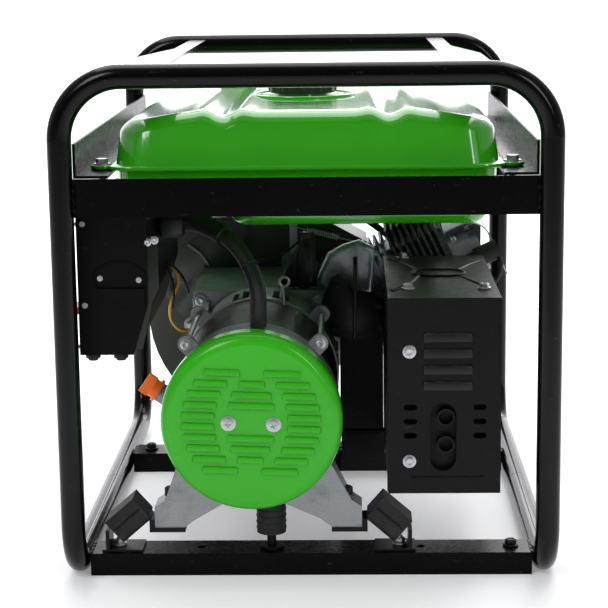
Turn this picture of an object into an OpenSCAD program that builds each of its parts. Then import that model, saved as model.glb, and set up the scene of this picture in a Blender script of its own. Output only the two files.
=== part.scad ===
/* [Frame] */
// Width over the tube hoops, along X
overall_w = 530; // [520:1:560]
// Length over the tube hoops, along Y
overall_l = 690; // [680:1:740]
// Height to the top of the hoops
overall_h = 555; // [550:1:600]
// Outside diameter of the frame tube
tube_d = 25.4; // [24:0.1:26]
// Wall of the frame tube
tube_wall = 1.8; // [1.2:0.1:3]
// Centreline radius of the two top corners of a hoop
corner_r = 65; // [55:1:75]
// Centreline radius of the foot bends
foot_r = 55; // [48:1:60]
// Height of the bottom cross channels
channel_h = 25; // [20:1:25]

/* [Tank] */
// Width of the tank across its shell
tank_w = 408; // [380:1:412]
// Length of the tank
tank_l = 590; // [560:1:600]
// Height of the tank's flat rim above the floor
rim_z = 444; // [443:0.5:446]
// Height of the tank's top above its rim
dome_h = 60; // [50:1:64]
// Radius of the fuel cap
fuel_cap_r = 40; // [34:1:44]

/* [Alternator] */
// Radius of the round end cover
cover_r = 97; // [94:1:98]
// Depth of the round end cover
cover_depth = 28; // [24:1:28]
// Pitch of the louvre rows
louvre_pitch = 11.8; // [11:0.1:12]
// Radius of the stator pack
stator_r = 90; // [86:1:90]
// Radius of the rotor core
rotor_r = 57; // [50:1:57]

/* [Engine] */
// Angle of the cylinder above the horizontal
cylinder_tilt = 25; // [24:1:26]
// Bore of the cylinder
bore_r = 44; // [40:1:44]
// Radius of the recoil housing
recoil_r = 92; // [85:1:95]

/* [Muffler] */
// Width of the muffler's shield box
shield_w = 120; // [112:1:122]
// Length of the muffler's shield box
shield_l = 274; // [260:1:276]
// Height of the muffler's shield box
shield_h = 213; // [200:1:214]

/* [Hidden] */
$fn = 64;

// Frame
tube_r = tube_d / 2;
hoop_x = overall_w / 2 - tube_r;
hoop_y = overall_l / 2 - tube_r;
top_z = overall_h - tube_r;
rail_z = tube_r;
inner_x = hoop_x - tube_r;
sleeve_gap = 1;
sleeve_half = 40;
channel_w = 44;
channel_t = 3;
front_channel_y = -281;
rear_channel_y = 118;
plate_t = 3;
plate_z = 398;
plate_h = 40;
angle_t = 3;
angle_w = 36;
strap_inner_x = 150;
strap_rear_w = 22;
strap_front_w = 46;
strap_top_z = 549;
strap_t = 4;

// Crank axis and engine
axis_x = -61;
axis_z = 175.5;
case_front_y = -20;
case_rear_y = 150;
cylinder_y = 66;
barrel_start = 78;
head_start = 195;
head_end = 262;
valve_cover_end = 298;
fan_front_y = 152;
fan_rear_y = 238;
recoil_end_y = 292;
case_floor_z = 70;

// Alternator
cover_front_y = -325;
bell_front_y = cover_front_y + cover_depth;
bell_rear_y = -250;
stator_rear_y = -100;
screw_dx = 24;
tie_r = 103;
shaft_r = 12.5;
bearing_r = 26;

// Muffler
shield_x = 84.5;
shield_y = -304;
shield_z = 92;
shield_t = 1.5;
outlet_x = 146;
outlet_z = [145.5, 175.5];

// Control panel, with its face towards -X
panel_y0 = -302;
panel_len = 340;
panel_top_z = 394;
panel_bottom_z = 246;
panel_back_x = -169;
panel_face_x = -241;
outlet_y = [-104, -16];

// Tank
shell_t = 1.5;
tank_cap_x = -9;
tank_cap_y = -60;
ear_x = 217;
ear_y = 272;

// Recoil
pulley_r = 40;
recoil_y = 265;
handle_x = axis_x - recoil_r - 20;
rope_r = 3;

// Mounts
stud_x = [-153, 40];
mount_y = -281;
engine_mount_dx = 70;
engine_mount_y = rear_channel_y;

module pipe(length, r = tube_r, wall = tube_wall) {
    linear_extrude(length) difference() {
        circle(r);
        circle(r - wall);
    }
}

module pipe_bend(bend_r, angle = 90, r = tube_r, wall = tube_wall) {
    rotate_extrude(angle = angle) translate([bend_r, 0]) difference() {
        circle(r);
        circle(r - wall);
    }
}

// Child copied to both sides of the X = 0 plane
module both_sides() {
    for (side = [0, 1]) mirror([side, 0, 0]) children();
}

// Local +Z runs along +Y from the crank axis
module on_axis(y) {
    translate([axis_x, y, axis_z]) rotate([-90, 0, 0]) children();
}

// Local +Z runs along the tilted cylinder, local X points down and outwards
module on_cylinder() {
    translate([axis_x, cylinder_y, axis_z]) rotate([0, 90 - cylinder_tilt, 0]) children();
}

module box(size, at) {
    translate(at) cube(size);
}

module rounded_slot(length, height, depth) {
    linear_extrude(depth) {
        square([length - height, height], center = true);
        for (side = [-1, 1]) translate([side * (length - height) / 2, 0]) circle(height / 2, $fn = 24);
    }
}

module rounded_rect(w, h, r) {
    square([w - 2 * r, h], center = true);
    square([w, h - 2 * r], center = true);
    for (x = [-1, 1], y = [-1, 1]) translate([x * (w / 2 - r), y * (h / 2 - r)]) circle(r);
}

module rear_half_hoop() {
    both_sides() {
        translate([hoop_x, sleeve_gap, rail_z]) rotate([-90, 0, 0]) pipe(hoop_y - foot_r - sleeve_gap);
        translate([hoop_x, hoop_y - foot_r, rail_z + foot_r]) rotate([0, 90, 0]) pipe_bend(foot_r);
        translate([hoop_x, hoop_y, rail_z + foot_r]) pipe(top_z - corner_r - rail_z - foot_r);
        translate([hoop_x - corner_r, hoop_y, top_z - corner_r]) rotate([90, 0, 0]) pipe_bend(corner_r);
    }
    translate([corner_r - hoop_x, hoop_y, top_z]) rotate([0, 90, 0]) pipe(2 * (hoop_x - corner_r));
}

module rear_hoop() {
    color("#101114") rear_half_hoop();
}

module front_hoop() {
    color("#101114") mirror([0, 1, 0]) rear_half_hoop();
}

module rail_sleeves() {
    color("#2a2c30") both_sides() translate([hoop_x, 0, rail_z]) rotate([-90, 0, 0]) {
        translate([0, 0, -sleeve_half]) pipe(2 * sleeve_half, tube_r - tube_wall, 1.5);
        translate([0, 0, -sleeve_gap]) pipe(2 * sleeve_gap, tube_r, 3.5);
    }
}

module cross_channel(y) {
    hole_x = [-218, -120, 120, 218];
    difference() {
        box([2 * inner_x, channel_w, channel_h], [-inner_x, y - channel_w / 2, 0]);
        box([2 * inner_x + 2, channel_w - 2 * channel_t, channel_h],
            [-inner_x - 1, y - channel_w / 2 + channel_t, -channel_t]);
        for (x = hole_x) translate([x, y, 0]) cylinder(r = 4.5, h = channel_h + 1);
    }
}

module cross_channels() {
    color("#101114") {
        cross_channel(front_channel_y);
        cross_channel(rear_channel_y);
    }
}

// Plates across the two hoops and the angles between them, which carry the tank
module tank_support_rails() {
    rail_len = 2 * (hoop_y - plate_t);
    angle_z = plate_z + plate_h;
    color("#141518") {
        for (side = [0, 1]) mirror([0, side, 0]) {
            box([2 * inner_x, plate_t, plate_h], [-inner_x, -hoop_y - plate_t / 2, plate_z]);
        }
        both_sides() difference() {
            union() {
                box([angle_w, rail_len, angle_t], [inner_x - angle_w, -rail_len / 2, angle_z]);
                box([angle_t, rail_len, angle_w], [inner_x - angle_t, -rail_len / 2, angle_z]);
            }
            for (y = [-ear_y, ear_y]) translate([ear_x, y, plate_z]) cylinder(r = 5, h = 2 * plate_h);
        }
    }
}

module top_straps() {
    end_y = hoop_y - tube_r + 0.2;
    outer_rear = strap_inner_x + strap_rear_w;
    outer_front = strap_inner_x + strap_front_w;
    color("#101114") both_sides() translate([0, 0, strap_top_z - strap_t]) linear_extrude(strap_t) polygon([
        [strap_inner_x, -end_y], [outer_front, -end_y], [outer_front, -80],
        [outer_rear, 90], [outer_rear, end_y], [strap_inner_x, end_y]
    ]);
}

// Tank shells: one rounded block, drawn at an inset for its inside
module tank_upper(inset) {
    r = 26;
    hull() {
        for (x = [-1, 1], y = [-1, 1]) {
            translate([x * (tank_w / 2 - r), y * (tank_l / 2 - r), rim_z - inset / 2])
                cylinder(r = r - inset, h = 12, $fn = 32);
            translate([x * (tank_w / 2 - r - 12), y * (tank_l / 2 - r - 10), rim_z + dome_h - r])
                sphere(r = r - inset, $fn = 32);
        }
    }
}

module tank_lower(inset) {
    r = 20;
    translate([0, 0, rim_z - 40 + inset]) linear_extrude(40 - inset) {
        rounded_rect(tank_w - 8 - 2 * inset, tank_l - 8 - 2 * inset, r);
    }
    translate([55, 10, 366 + inset]) linear_extrude(39) rounded_rect(286 - 2 * inset, 400 - 2 * inset, r);
}

module fuel_tank() {
    color("#33a51d") difference() {
        union() {
            tank_upper(0);
            tank_lower(0);
            translate([0, 0, rim_z - 2]) linear_extrude(4) rounded_rect(tank_w + 14, tank_l + 14, 30);
            for (x = [-1, 1], y = [-1, 1]) translate([x * ear_x, y * ear_y, rim_z - 2]) {
                cylinder(r = 12, h = 4);
            }
            translate([tank_cap_x, tank_cap_y, rim_z + dome_h - 12]) cylinder(r = 30, h = 14);
        }
        tank_upper(shell_t);
        tank_lower(shell_t);
        translate([tank_cap_x, tank_cap_y, rim_z]) cylinder(r = 25, h = dome_h + 10);
        for (x = [-1, 1], y = [-1, 1]) translate([x * ear_x, y * ear_y, rim_z - 5]) cylinder(r = 4.5, h = 10);
    }
}

module tank_bolts() {
    color("#b9bcc0") for (x = [-1, 1], y = [-1, 1]) translate([x * ear_x, y * ear_y, rim_z + 2]) {
        cylinder(r = 9, h = 1.6);
        translate([0, 0, 1.6]) cylinder(r = 6.5, h = 5, $fn = 6);
        translate([0, 0, -20]) cylinder(r = 3.9, h = 20);
    }
}

cap_seat_z = rim_z + dome_h + 2;

module fuel_cap_plug() {
    color("#222222") translate([tank_cap_x, tank_cap_y, cap_seat_z]) {
        translate([0, 0, -14]) difference() {
            cylinder(r = 24.6, h = 14.4);
            translate([0, 0, -1]) cylinder(r = 21, h = 12);
        }
        translate([0, 0, 0.4]) cylinder(r = 29, h = 2);
        translate([0, 0, 2.4]) cylinder(r = 6, h = 8);
    }
}

module fuel_cap() {
    cap_h = 18;
    color("#2c2d2f") translate([tank_cap_x, tank_cap_y, cap_seat_z]) difference() {
        union() {
            translate([0, 0, -1.4]) cylinder(r = fuel_cap_r - 2, h = cap_h);
            for (a = [0 : 30 : 330]) rotate([0, 0, a]) translate([fuel_cap_r - 6, 0, 1]) {
                cylinder(r = 6, h = cap_h - 6);
            }
        }
        translate([0, 0, -3]) cylinder(r = 31, h = 6);
        translate([0, 0, -1]) cylinder(r = 6.05, h = 12);
    }
}

module fuel_gauge() {
    color("#1d1e20") translate([-96, 128, rim_z + dome_h]) {
        cylinder(r = 27, h = 3);
        translate([0, 0, 3]) difference() {
            cylinder(r = 22, h = 5);
            translate([0, 0, 2]) cylinder(r = 19, h = 5);
        }
    }
}

valve_y = 130;
valve_x = -186;
valve_z = rim_z - 40;

module fuel_valve() {
    color("#b08a3c") {
        translate([valve_x, valve_y, valve_z - 18]) cylinder(r = 8, h = 18);
        box([26, 20, 20], [valve_x - 13, valve_y - 10, valve_z - 38]);
        translate([valve_x, valve_y, valve_z - 52]) cylinder(r = 4, h = 14);
    }
}

module fuel_valve_lever() {
    color("#202020") translate([valve_x - 13.3, valve_y, valve_z - 28]) rotate([0, -90, 0]) {
        cylinder(r = 9, h = 6);
        translate([-4, 0, 0]) cube([8, 34, 6]);
        translate([-5, 30, 0]) cube([10, 8, 12]);
    }
}

// Crankcase with its tilted neck, filler neck, governor lug and mounting feet
case_left = -146;
case_w = 160;
case_top = 262;
neck_end = 95;
cam_dx = -20;
cam_dz = -56.6;
filler_at = [-140, 8, 92];
filler_tilt = 55;
filler_len = 66;
governor_at = [-28, 134, 276];

module crankcase() {
    wall = 4;
    depth = case_rear_y + 8;
    color("#8f9296") difference() {
        union() {
            box([case_w, depth, case_top - case_floor_z], [case_left, -8, case_floor_z]);
            on_cylinder() cylinder(r = 62, h = neck_end);
            translate(filler_at) rotate([0, -filler_tilt, 0]) cylinder(r = 12, h = filler_len);
            box([30, 10, 26], [governor_at.x - 15, 120, case_top - 4]);
            for (x = [-1, 1]) translate([axis_x + x * engine_mount_dx, engine_mount_y, case_floor_z - 4]) {
                cylinder(r = 22, h = 14);
            }
        }
        box([case_w - 2 * wall, depth - wall + 1, case_top - case_floor_z - 2 * wall],
            [case_left + wall, -9, case_floor_z + wall]);
        on_cylinder() cylinder(r = 52, h = neck_end + 1);
        on_axis(case_rear_y - 10) cylinder(r = 17.55, h = 20);
        on_axis(case_rear_y - wall) translate([cam_dx, -cam_dz, -1]) cylinder(r = 8.05, h = 10);
        translate(filler_at) rotate([0, -filler_tilt, 0]) translate([0, 0, -5]) {
            cylinder(r = 8.5, h = filler_len + 10);
        }
    }
    color("#8f9296") translate([governor_at.x, 130, governor_at.z]) rotate([-90, 0, 0]) {
        cylinder(r = 3.5, h = 14);
    }
}

module crankcase_cover() {
    color("#9a9da1") difference() {
        union() {
            box([case_w, 12, case_top - case_floor_z], [case_left, case_front_y, case_floor_z]);
            on_axis(case_front_y) translate([0, 0, -4]) cylinder(r = 40, h = 4);
        }
        on_axis(case_front_y - 5) cylinder(r = 17.55, h = 20);
        on_axis(case_front_y + 4) translate([cam_dx, -cam_dz, 0]) cylinder(r = 8.05, h = 20);
    }
}

// Exhaust port, from the crank axis along and across the cylinder
port_d = 222;
port_perp = 40;
port_x = axis_x + port_d * cos(cylinder_tilt) + port_perp * sin(cylinder_tilt);
port_z = axis_z + port_d * sin(cylinder_tilt) - port_perp * cos(cylinder_tilt);

module fin_stack(from, to, wide, deep, core, hole_r) {
    pitch = 8;
    difference() {
        union() {
            translate([0, 0, from]) linear_extrude(to - from) rounded_rect(core, core, 14);
            for (d = [from + 3 : pitch : to - 3]) translate([0, 0, d]) linear_extrude(3) {
                rounded_rect(wide, deep, 10);
            }
        }
        translate([0, 0, from - 1]) cylinder(r = hole_r, h = to - from + 2);
    }
}

module cylinder_block() {
    color("#7d8084") difference() {
        on_cylinder() fin_stack(neck_end, head_start, 128, 112, 104, bore_r);
        box([case_w, 200, case_top - case_floor_z + 0.4], [case_left + 0.4, -20, case_floor_z]);
    }
}

module cylinder_head() {
    color("#85888c") on_cylinder() difference() {
        union() {
            fin_stack(head_start, head_end, 150, 116, 96, 8);
            translate([-14, -78, head_end - 26]) cube([28, 30, 26]);
            translate([port_perp, -59, port_d]) rotate([90, 0, 0]) cylinder(r = 20, h = 2);
        }
        translate([0, -66, head_end - 27]) cylinder(r = 5, h = 30);
        translate([port_perp, -62, port_d]) rotate([-90, 0, 0]) cylinder(r = 13, h = 40);
    }
}

module valve_cover() {
    lid = 10;
    length = valve_cover_end - head_end;
    color("#7f8286") on_cylinder() difference() {
        union() {
            translate([0, 0, head_end]) linear_extrude(5) rounded_rect(72, 98, 14);
            translate([0, 0, head_end + 5]) linear_extrude(length - 5 - lid) rounded_rect(64, 88, 16);
            translate([0, 0, valve_cover_end - lid]) linear_extrude(lid) rounded_rect(54, 78, 16);
        }
        translate([0, 0, head_end - 1]) linear_extrude(length - 3) rounded_rect(48, 72, 14);
    }
}

module head_shroud() {
    r = 26;
    t = 1.5;
    end_d = 312;
    side = -42;
    long = 112;
    color("#33a51d") on_cylinder() translate([0, long / 2 + 8, 0]) rotate([90, 0, 0]) linear_extrude(long) {
        translate([side - t, head_end + 2]) square([t, end_d - r - head_end - 2]);
        translate([side + r, end_d - r]) intersection() {
            difference() {
                circle(r + t);
                circle(r);
            }
            translate([-2 * r, 0]) square(2 * r);
        }
        translate([side + r, end_d]) square([54, t]);
    }
}

module spark_plug() {
    color("#c9c9c4") on_cylinder() translate([0, -66, 0]) {
        translate([0, 0, head_end - 20]) cylinder(r = 4.9, h = 20);
        translate([0, 0, head_end]) cylinder(r = 9, h = 9, $fn = 6);
        translate([0, 0, head_end + 9]) cylinder(r = 5, h = 16);
    }
}

module plug_boot() {
    color("#17181a") on_cylinder() translate([0, -66, head_end + 14]) difference() {
        union() {
            cylinder(r = 9, h = 10);
            translate([0, 0, 10]) cylinder(r = 12, h = 30);
        }
        translate([0, 0, -1]) cylinder(r = 5.05, h = 14);
    }
}

// Fan housing: a volute about the crank axis that opens towards the cylinder
function volute_r(a) = 112 + (270 - a) * 0.5;
function shrink(p, t) = p * (1 - t / norm(p));
function housing_outline(t) = [
    for (a = [270 : -7.25 : 125]) (volute_r(a) - t) * [cos(a), sin(a)],
    for (p = [[60, 155], [128, 118], [94, 20], [74, -88]]) shrink(p, t)
];

module fan_housing() {
    t = 1.6;
    color("#2f9a1c") translate([axis_x, fan_rear_y, axis_z]) rotate([90, 0, 0]) difference() {
        linear_extrude(fan_rear_y - fan_front_y) polygon(housing_outline(0));
        translate([0, 0, t]) linear_extrude(fan_rear_y - fan_front_y - 2 * t) polygon(housing_outline(t));
        translate([0, 0, -1]) cylinder(r = 82, h = 5);
        translate([0, 0, 70]) cylinder(r = 60, h = 30);
    }
}

module recoil_housing() {
    t = 2;
    depth = recoil_end_y - fan_rear_y;
    guide_at = [0, -pulley_r, recoil_y - fan_rear_y];
    color("#2f9a1c") on_axis(fan_rear_y) {
        difference() {
            union() {
                cylinder(r = recoil_r, h = depth);
                translate(guide_at) rotate([0, -90, 0]) cylinder(r = 9, h = recoil_r + 8);
            }
            translate([0, 0, -1]) cylinder(r = recoil_r - t, h = depth - t + 1);
            translate(guide_at) rotate([0, -90, 0]) cylinder(r = 5, h = recoil_r + 20);
            for (a = [0 : 30 : 330]) rotate([0, 0, a]) translate([recoil_r * 0.7, 0, depth - 5]) {
                rotate([0, 0, 90]) rounded_slot(24, 8, 10);
            }
        }
        translate([0, 0, 10]) cylinder(r = 8, h = depth - 11);
    }
}

module recoil_pulley() {
    color("#26272a") on_axis(recoil_y) difference() {
        union() {
            translate([0, 0, -10]) cylinder(r = pulley_r + 6, h = 3);
            translate([0, 0, -7]) cylinder(r = pulley_r - rope_r - 0.5, h = 14);
            translate([0, 0, 7]) cylinder(r = pulley_r + 6, h = 3);
        }
        translate([0, 0, -11]) cylinder(r = 8.05, h = 30);
    }
}

module recoil_rope() {
    from_x = axis_x - 2;
    color("#d9d4c6") translate([from_x, recoil_y, axis_z + pulley_r]) rotate([0, -90, 0]) {
        cylinder(r = rope_r, h = from_x - handle_x - 9.4);
    }
}

module recoil_handle() {
    grip = 96;
    color("#17181a") translate([handle_x, recoil_y, axis_z + pulley_r]) {
        translate([0, 0, -grip / 2]) cylinder(r = 9, h = grip);
        for (z = [-1, 1]) translate([0, 0, z * grip / 2]) sphere(r = 9);
        rotate([0, 90, 0]) difference() {
            cylinder(r = 8, h = 11.5);
            translate([0, 0, 9.2]) cylinder(r = rope_r + 0.05, h = 4);
        }
    }
}

module flywheel() {
    color("#6d7074") difference() {
        union() {
            on_axis(166) cylinder(r = 78, h = 20);
            for (a = [0 : 20 : 340]) on_axis(186) rotate([0, 0, a]) translate([44, -1.5, -1]) {
                cube([33, 3, 26]);
            }
            on_axis(186) cylinder(r = 36, h = 40);
        }
        on_axis(160) cylinder(r = 12, h = 80);
        on_axis(208) cylinder(r = 32, h = 30);
    }
}

module gear(teeth, pitch_r, thick, phase) {
    cylinder(r = pitch_r - 1.5, h = thick);
    for (i = [0 : teeth - 1]) rotate([0, 0, i * 360 / teeth + phase]) translate([pitch_r - 3, -1, 0.3]) {
        cube([4, 2, thick - 0.6]);
    }
}

// Direction from the crank gear to the cam gear, a tooth of one meets a gap of the other
gear_line = atan2(-cam_dz, cam_dx);

module crankshaft() {
    color("#a4a7ab") {
        on_axis(-24.3) cylinder(r = 17.5, h = 64.3);
        for (y = [40, 78]) on_axis(y) cylinder(r = 45, h = 14);
        on_axis(50) translate([30, 0, 0]) cylinder(r = 12, h = 32);
        on_axis(92) cylinder(r = 17.5, h = 62);
        on_axis(154) cylinder(r = 12, h = 70);
        on_axis(118) gear(20, 20, 10, gear_line);
    }
}

module camshaft() {
    color("#8f9296") translate([cam_dx, 0, cam_dz]) {
        on_axis(-14) cylinder(r = 8, h = 162);
        on_axis(118) gear(40, 40, 10, gear_line + 184.5);
        for (y = [8, 100]) on_axis(y) translate([0, 4, 0]) cylinder(r = 11, h = 10);
    }
}

module oil_filler_cap() {
    color("#ff7a1a") translate(filler_at) rotate([0, -filler_tilt, 0]) translate([0, 0, filler_len]) {
        translate([0, 0, -24]) cylinder(r = 8.4, h = 24);
        cylinder(r = 15, h = 4);
        translate([0, 0, 4]) cylinder(r = 12, h = 6);
        translate([-13, -4, 10]) cube([26, 8, 12]);
    }
}

carb_at = [150, 0, 274];

module carburetor() {
    color("#9c9fa3") difference() {
        union() {
            box([44, 50, 34], [carb_at.x - 22, 125, carb_at.z - 17]);
            box([60, 5, 44], [carb_at.x - 30, 173, carb_at.z - 22]);
            translate([carb_at.x, 148, carb_at.z - 50]) cylinder(r = 21, h = 36);
            translate([carb_at.x, 148, carb_at.z - 58]) cylinder(r = 7, h = 10, $fn = 6);
        }
        translate([carb_at.x, 120, carb_at.z]) rotate([-90, 0, 0]) cylinder(r = 13, h = 70);
    }
    color("#9c9fa3") translate([carb_at.x + 21, 162, carb_at.z + 8]) rotate([0, 90, 0]) {
        cylinder(r = 3, h = 8);
    }
}

module choke_lever() {
    color("#1b1b1b") translate([carb_at.x + 23, 162, carb_at.z + 8]) rotate([0, 90, 0]) difference() {
        union() {
            cylinder(r = 7, h = 4);
            translate([-34, -4, 0]) cube([34, 8, 3]);
            translate([-36, -6, 0]) cube([8, 12, 10]);
        }
        translate([0, 0, -1]) cylinder(r = 3.05, h = 10);
    }
}

cleaner_w = 124;
cleaner_h = 108;
cleaner_at = [155, 178, 291];

module cleaner_shape(depth, inset) {
    rotate([90, 0, 0]) translate([0, 0, -depth]) linear_extrude(depth) {
        rounded_rect(cleaner_w - 2 * inset, cleaner_h - 2 * inset, 14 - inset);
    }
}

module air_cleaner_base() {
    color("#1a1b1d") translate(cleaner_at) difference() {
        union() {
            cleaner_shape(6, 0);
            translate([0, 6, 0]) rotate([-90, 0, 0]) cylinder(r = 3, h = 86);
        }
        translate([-5, -1, -17]) rotate([-90, 0, 0]) cylinder(r = 13, h = 8);
    }
}

module air_filter_element() {
    color("#d8b24a") translate([cleaner_at.x, cleaner_at.y + 6, cleaner_at.z]) rotate([-90, 0, 0]) {
        difference() {
            cylinder(r = 46, h = 74);
            translate([0, 0, -1]) cylinder(r = 32, h = 80);
        }
    }
}

module air_cleaner_cover() {
    depth = 112;
    t = 2.2;
    color("#1a1b1d") translate([cleaner_at.x, cleaner_at.y + 6.4, cleaner_at.z]) {
        difference() {
            cleaner_shape(depth, 0);
            translate([0, -t, 0]) cleaner_shape(depth, t);
            translate([0, depth - 5, 0]) rotate([-90, 0, 0]) cylinder(r = 3.5, h = 10);
        }
        translate([0, depth, 0]) rotate([-90, 0, 0]) cylinder(r = 10, h = 8);
    }
}

module governor_arm() {
    color("#b9bcc0") translate([governor_at.x, 131.5, governor_at.z]) rotate([-90, 0, 0]) difference() {
        union() {
            cylinder(r = 8, h = 3);
            translate([-5, -58, 0]) cube([10, 58, 2]);
        }
        translate([0, 0, -1]) cylinder(r = 3.55, h = 10);
        translate([0, -50, -1]) cylinder(r = 1.5, h = 10, $fn = 16);
    }
}

module exhaust_pipe() {
    color("#6f6a63") translate([port_x, 5, port_z]) rotate([90, 0, 0]) difference() {
        union() {
            cylinder(r = 17, h = 44);
            cylinder(r = 24, h = 4);
            translate([0, 0, 40]) cylinder(r = 24, h = 4);
        }
        translate([0, 0, -1]) cylinder(r = 13, h = 60);
    }
}

module muffler() {
    gap = 9;
    w = shield_w - 2 * gap;
    h = shield_h - 2 * gap;
    from_y = shield_y + 12;
    len = -39 - from_y;
    color("#4b4a48") translate([shield_x + shield_w / 2, from_y, shield_z + shield_h / 2]) {
        rotate([-90, 0, 0]) difference() {
            linear_extrude(len) rounded_rect(w, h, 30);
            translate([0, 0, 2]) linear_extrude(len - 4) rounded_rect(w - 4, h - 4, 28);
        }
    }
}

module outlet_pipes() {
    color("#8b8883") for (z = outlet_z) translate([outlet_x, shield_y + 1, z]) rotate([-90, 0, 0])
    difference() {
        cylinder(r = 9.5, h = 11);
        translate([0, 0, -1]) cylinder(r = 7.5, h = 12);
    }
}

module muffler_shield() {
    inner = [shield_w - 2 * shield_t, shield_l - 2 * shield_t, shield_h];
    louvre_z = [208, 225.5, 243, 260.5];
    slot_z = [156, 171.5, 187];
    centre_x = shield_x + shield_w / 2;
    color("#1b1b1c") difference() {
        box([shield_w, shield_l, shield_h], [shield_x, shield_y, shield_z]);
        box(inner, [shield_x + shield_t, shield_y + shield_t, shield_z - shield_t]);
        for (z = louvre_z) translate([148, shield_y + 5, z]) rotate([90, 0, 0]) rounded_slot(50, 5, 10);
        for (x = [108, 182], z = slot_z) translate([x, shield_y + 5, z]) rotate([90, 0, 0]) {
            rounded_slot(14, 6.5, 10);
        }
        translate([143, shield_y + 5, 154.5]) rotate([90, 90, 0]) rounded_slot(75, 28, 10);
        for (y = [-260 : 40 : -80], z = [150, 200, 250]) translate([shield_x + shield_w - 5, y, z]) {
            rotate([90, 0, 90]) rounded_slot(28, 5, 10);
        }
        translate([port_x, shield_y + shield_l - 5, port_z]) rotate([-90, 0, 0]) cylinder(r = 26, h = 10);
        translate([centre_x, shield_y + 162, shield_z + shield_h - 5]) rounded_slot(58, 34, 10);
    }
}

module heat_shield() {
    color("#202225") {
        box([52, 2, 172], [32, -46, 92]);
        box([2, 26, 120], [82, -44, 120]);
    }
}

module ears(y, thick) {
    for (a = [45 : 90 : 315]) on_axis(y) rotate([0, 0, a]) difference() {
        union() {
            translate([88, -9, 0]) cube([tie_r - 88, 18, thick]);
            translate([tie_r, 0, 0]) cylinder(r = 9, h = thick);
        }
        translate([tie_r, 0, -1]) cylinder(r = 3.3, h = thick + 2);
    }
}

module adapter_bell() {
    depth = case_front_y - 4 - stator_rear_y;
    color("#a7aaae") {
        difference() {
            on_axis(stator_rear_y) cylinder(r = 92, h = depth);
            on_axis(stator_rear_y - 1) cylinder(r = 86, h = depth - 7);
            on_axis(stator_rear_y) cylinder(r = 41, h = depth + 5);
            for (a = [15 : 30 : 345]) on_axis(stator_rear_y + 34) rotate([0, 0, a]) {
                translate([80, -10, -22]) cube([20, 20, 44]);
            }
        }
        ears(stator_rear_y, 12);
    }
}

module stator() {
    color("#5b5e63") on_axis(bell_rear_y) difference() {
        cylinder(r = stator_r, h = stator_rear_y - bell_rear_y);
        translate([0, 0, -1]) cylinder(r = rotor_r + 0.8, h = 200);
        for (end = [-1, 108]) translate([0, 0, end]) cylinder(r = 78, h = 43);
    }
}

module bell_leg(foot_x) {
    side = sign(foot_x - axis_x);
    foot = foot_x - axis_x;
    foot_top = 75 - axis_z;
    foot_bottom = 52 - axis_z;
    translate([axis_x, bell_rear_y - 12, axis_z]) rotate([90, 0, 0]) linear_extrude(34) difference() {
        polygon([
            [side * 80, -45], [foot + side * 4, foot_top + 8], [foot + side * 16, foot_top],
            [foot + side * 16, foot_bottom], [foot - side * 16, foot_bottom],
            [foot - side * 30, foot_bottom + 10],
            [side * 30, -95], [side * 46, -80]
        ]);
        circle(91);
    }
}

module end_bell() {
    depth = bell_rear_y - bell_front_y;
    color("#a7aaae") {
        difference() {
            union() {
                on_axis(bell_front_y) difference() {
                    cylinder(r = cover_r - 3, h = depth);
                    translate([0, 0, -1]) cylinder(r = 85, h = depth + 2);
                }
                on_axis(bell_front_y + 5) cylinder(r = 34, h = 20);
                for (a = [0 : 90 : 270]) on_axis(bell_front_y + 9) rotate([0, 0, a + 45]) {
                    translate([30, -8, 0]) cube([57, 16, 12]);
                }
                for (x = [-1, 1]) on_axis(cover_front_y + 1.6) translate([x * screw_dx, 0, 0]) {
                    cylinder(r = 5, h = 34);
                }
            }
            on_axis(bell_front_y + 4) cylinder(r = bearing_r, h = 40);
        }
        ears(bell_rear_y - 12, 12);
        for (x = stud_x) bell_leg(x);
    }
}

// Half lengths of the louvre groups at height z from the cover's centre
function ellipse_x(z, half_w, half_h) = half_w * sqrt(max(0, 1 - (z / half_h) * (z / half_h)));

module louvre_row(z) {
    side_in = ellipse_x(z, 41, 57);
    side_out = ellipse_x(z, 72, 72);
    middle = ellipse_x(z, 24, 47);
    for (side = [-1, 1]) translate([side * (side_in + side_out) / 2, z, 0]) {
        rounded_slot(side_out - side_in, 4, 8);
    }
    if (abs(z) > 10 && middle > 8) translate([0, z, 0]) rounded_slot(2 * middle, 4, 8);
}

module end_cover() {
    edge = 12;
    t = 1.6;
    color("#3cae22") on_axis(cover_front_y) rotate([0, 0, 2]) difference() {
        rotate_extrude() difference() {
            union() {
                square([cover_r - edge, cover_depth]);
                translate([0, edge]) square([cover_r, cover_depth - edge]);
                translate([cover_r - edge, edge]) circle(edge);
            }
            translate([0, t]) square([cover_r - edge, cover_depth]);
            translate([0, edge]) square([cover_r - t, cover_depth]);
            translate([cover_r - edge, edge]) circle(edge - t);
        }
        for (row = [-4.5 : 1 : 4.5]) translate([0, 0, -1]) louvre_row(row * louvre_pitch);
    }
}

module rotor() {
    color("#6a6d72") {
        on_axis(bell_front_y + 4) cylinder(r = 12.5, h = 42);
        on_axis(bell_front_y + 46) cylinder(r = 20, h = 16);
        on_axis(bell_rear_y + 15) cylinder(r = rotor_r, h = 120);
        on_axis(bell_rear_y + 135) cylinder(r = 20, h = 90.5);
        on_axis(-96) cylinder(r = 34, h = 4);
        for (a = [0 : 36 : 324]) on_axis(-96) rotate([0, 0, a]) translate([18, -1.5, 0]) cube([58, 3, 40]);
        on_axis(-60) cylinder(r = 80, h = 3);
    }
}

module end_bearing() {
    color("#c6c9cd") on_axis(bell_front_y + 6) difference() {
        cylinder(r = bearing_r, h = 15);
        translate([0, 0, -1]) cylinder(r = 12.55, h = 20);
    }
}

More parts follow.
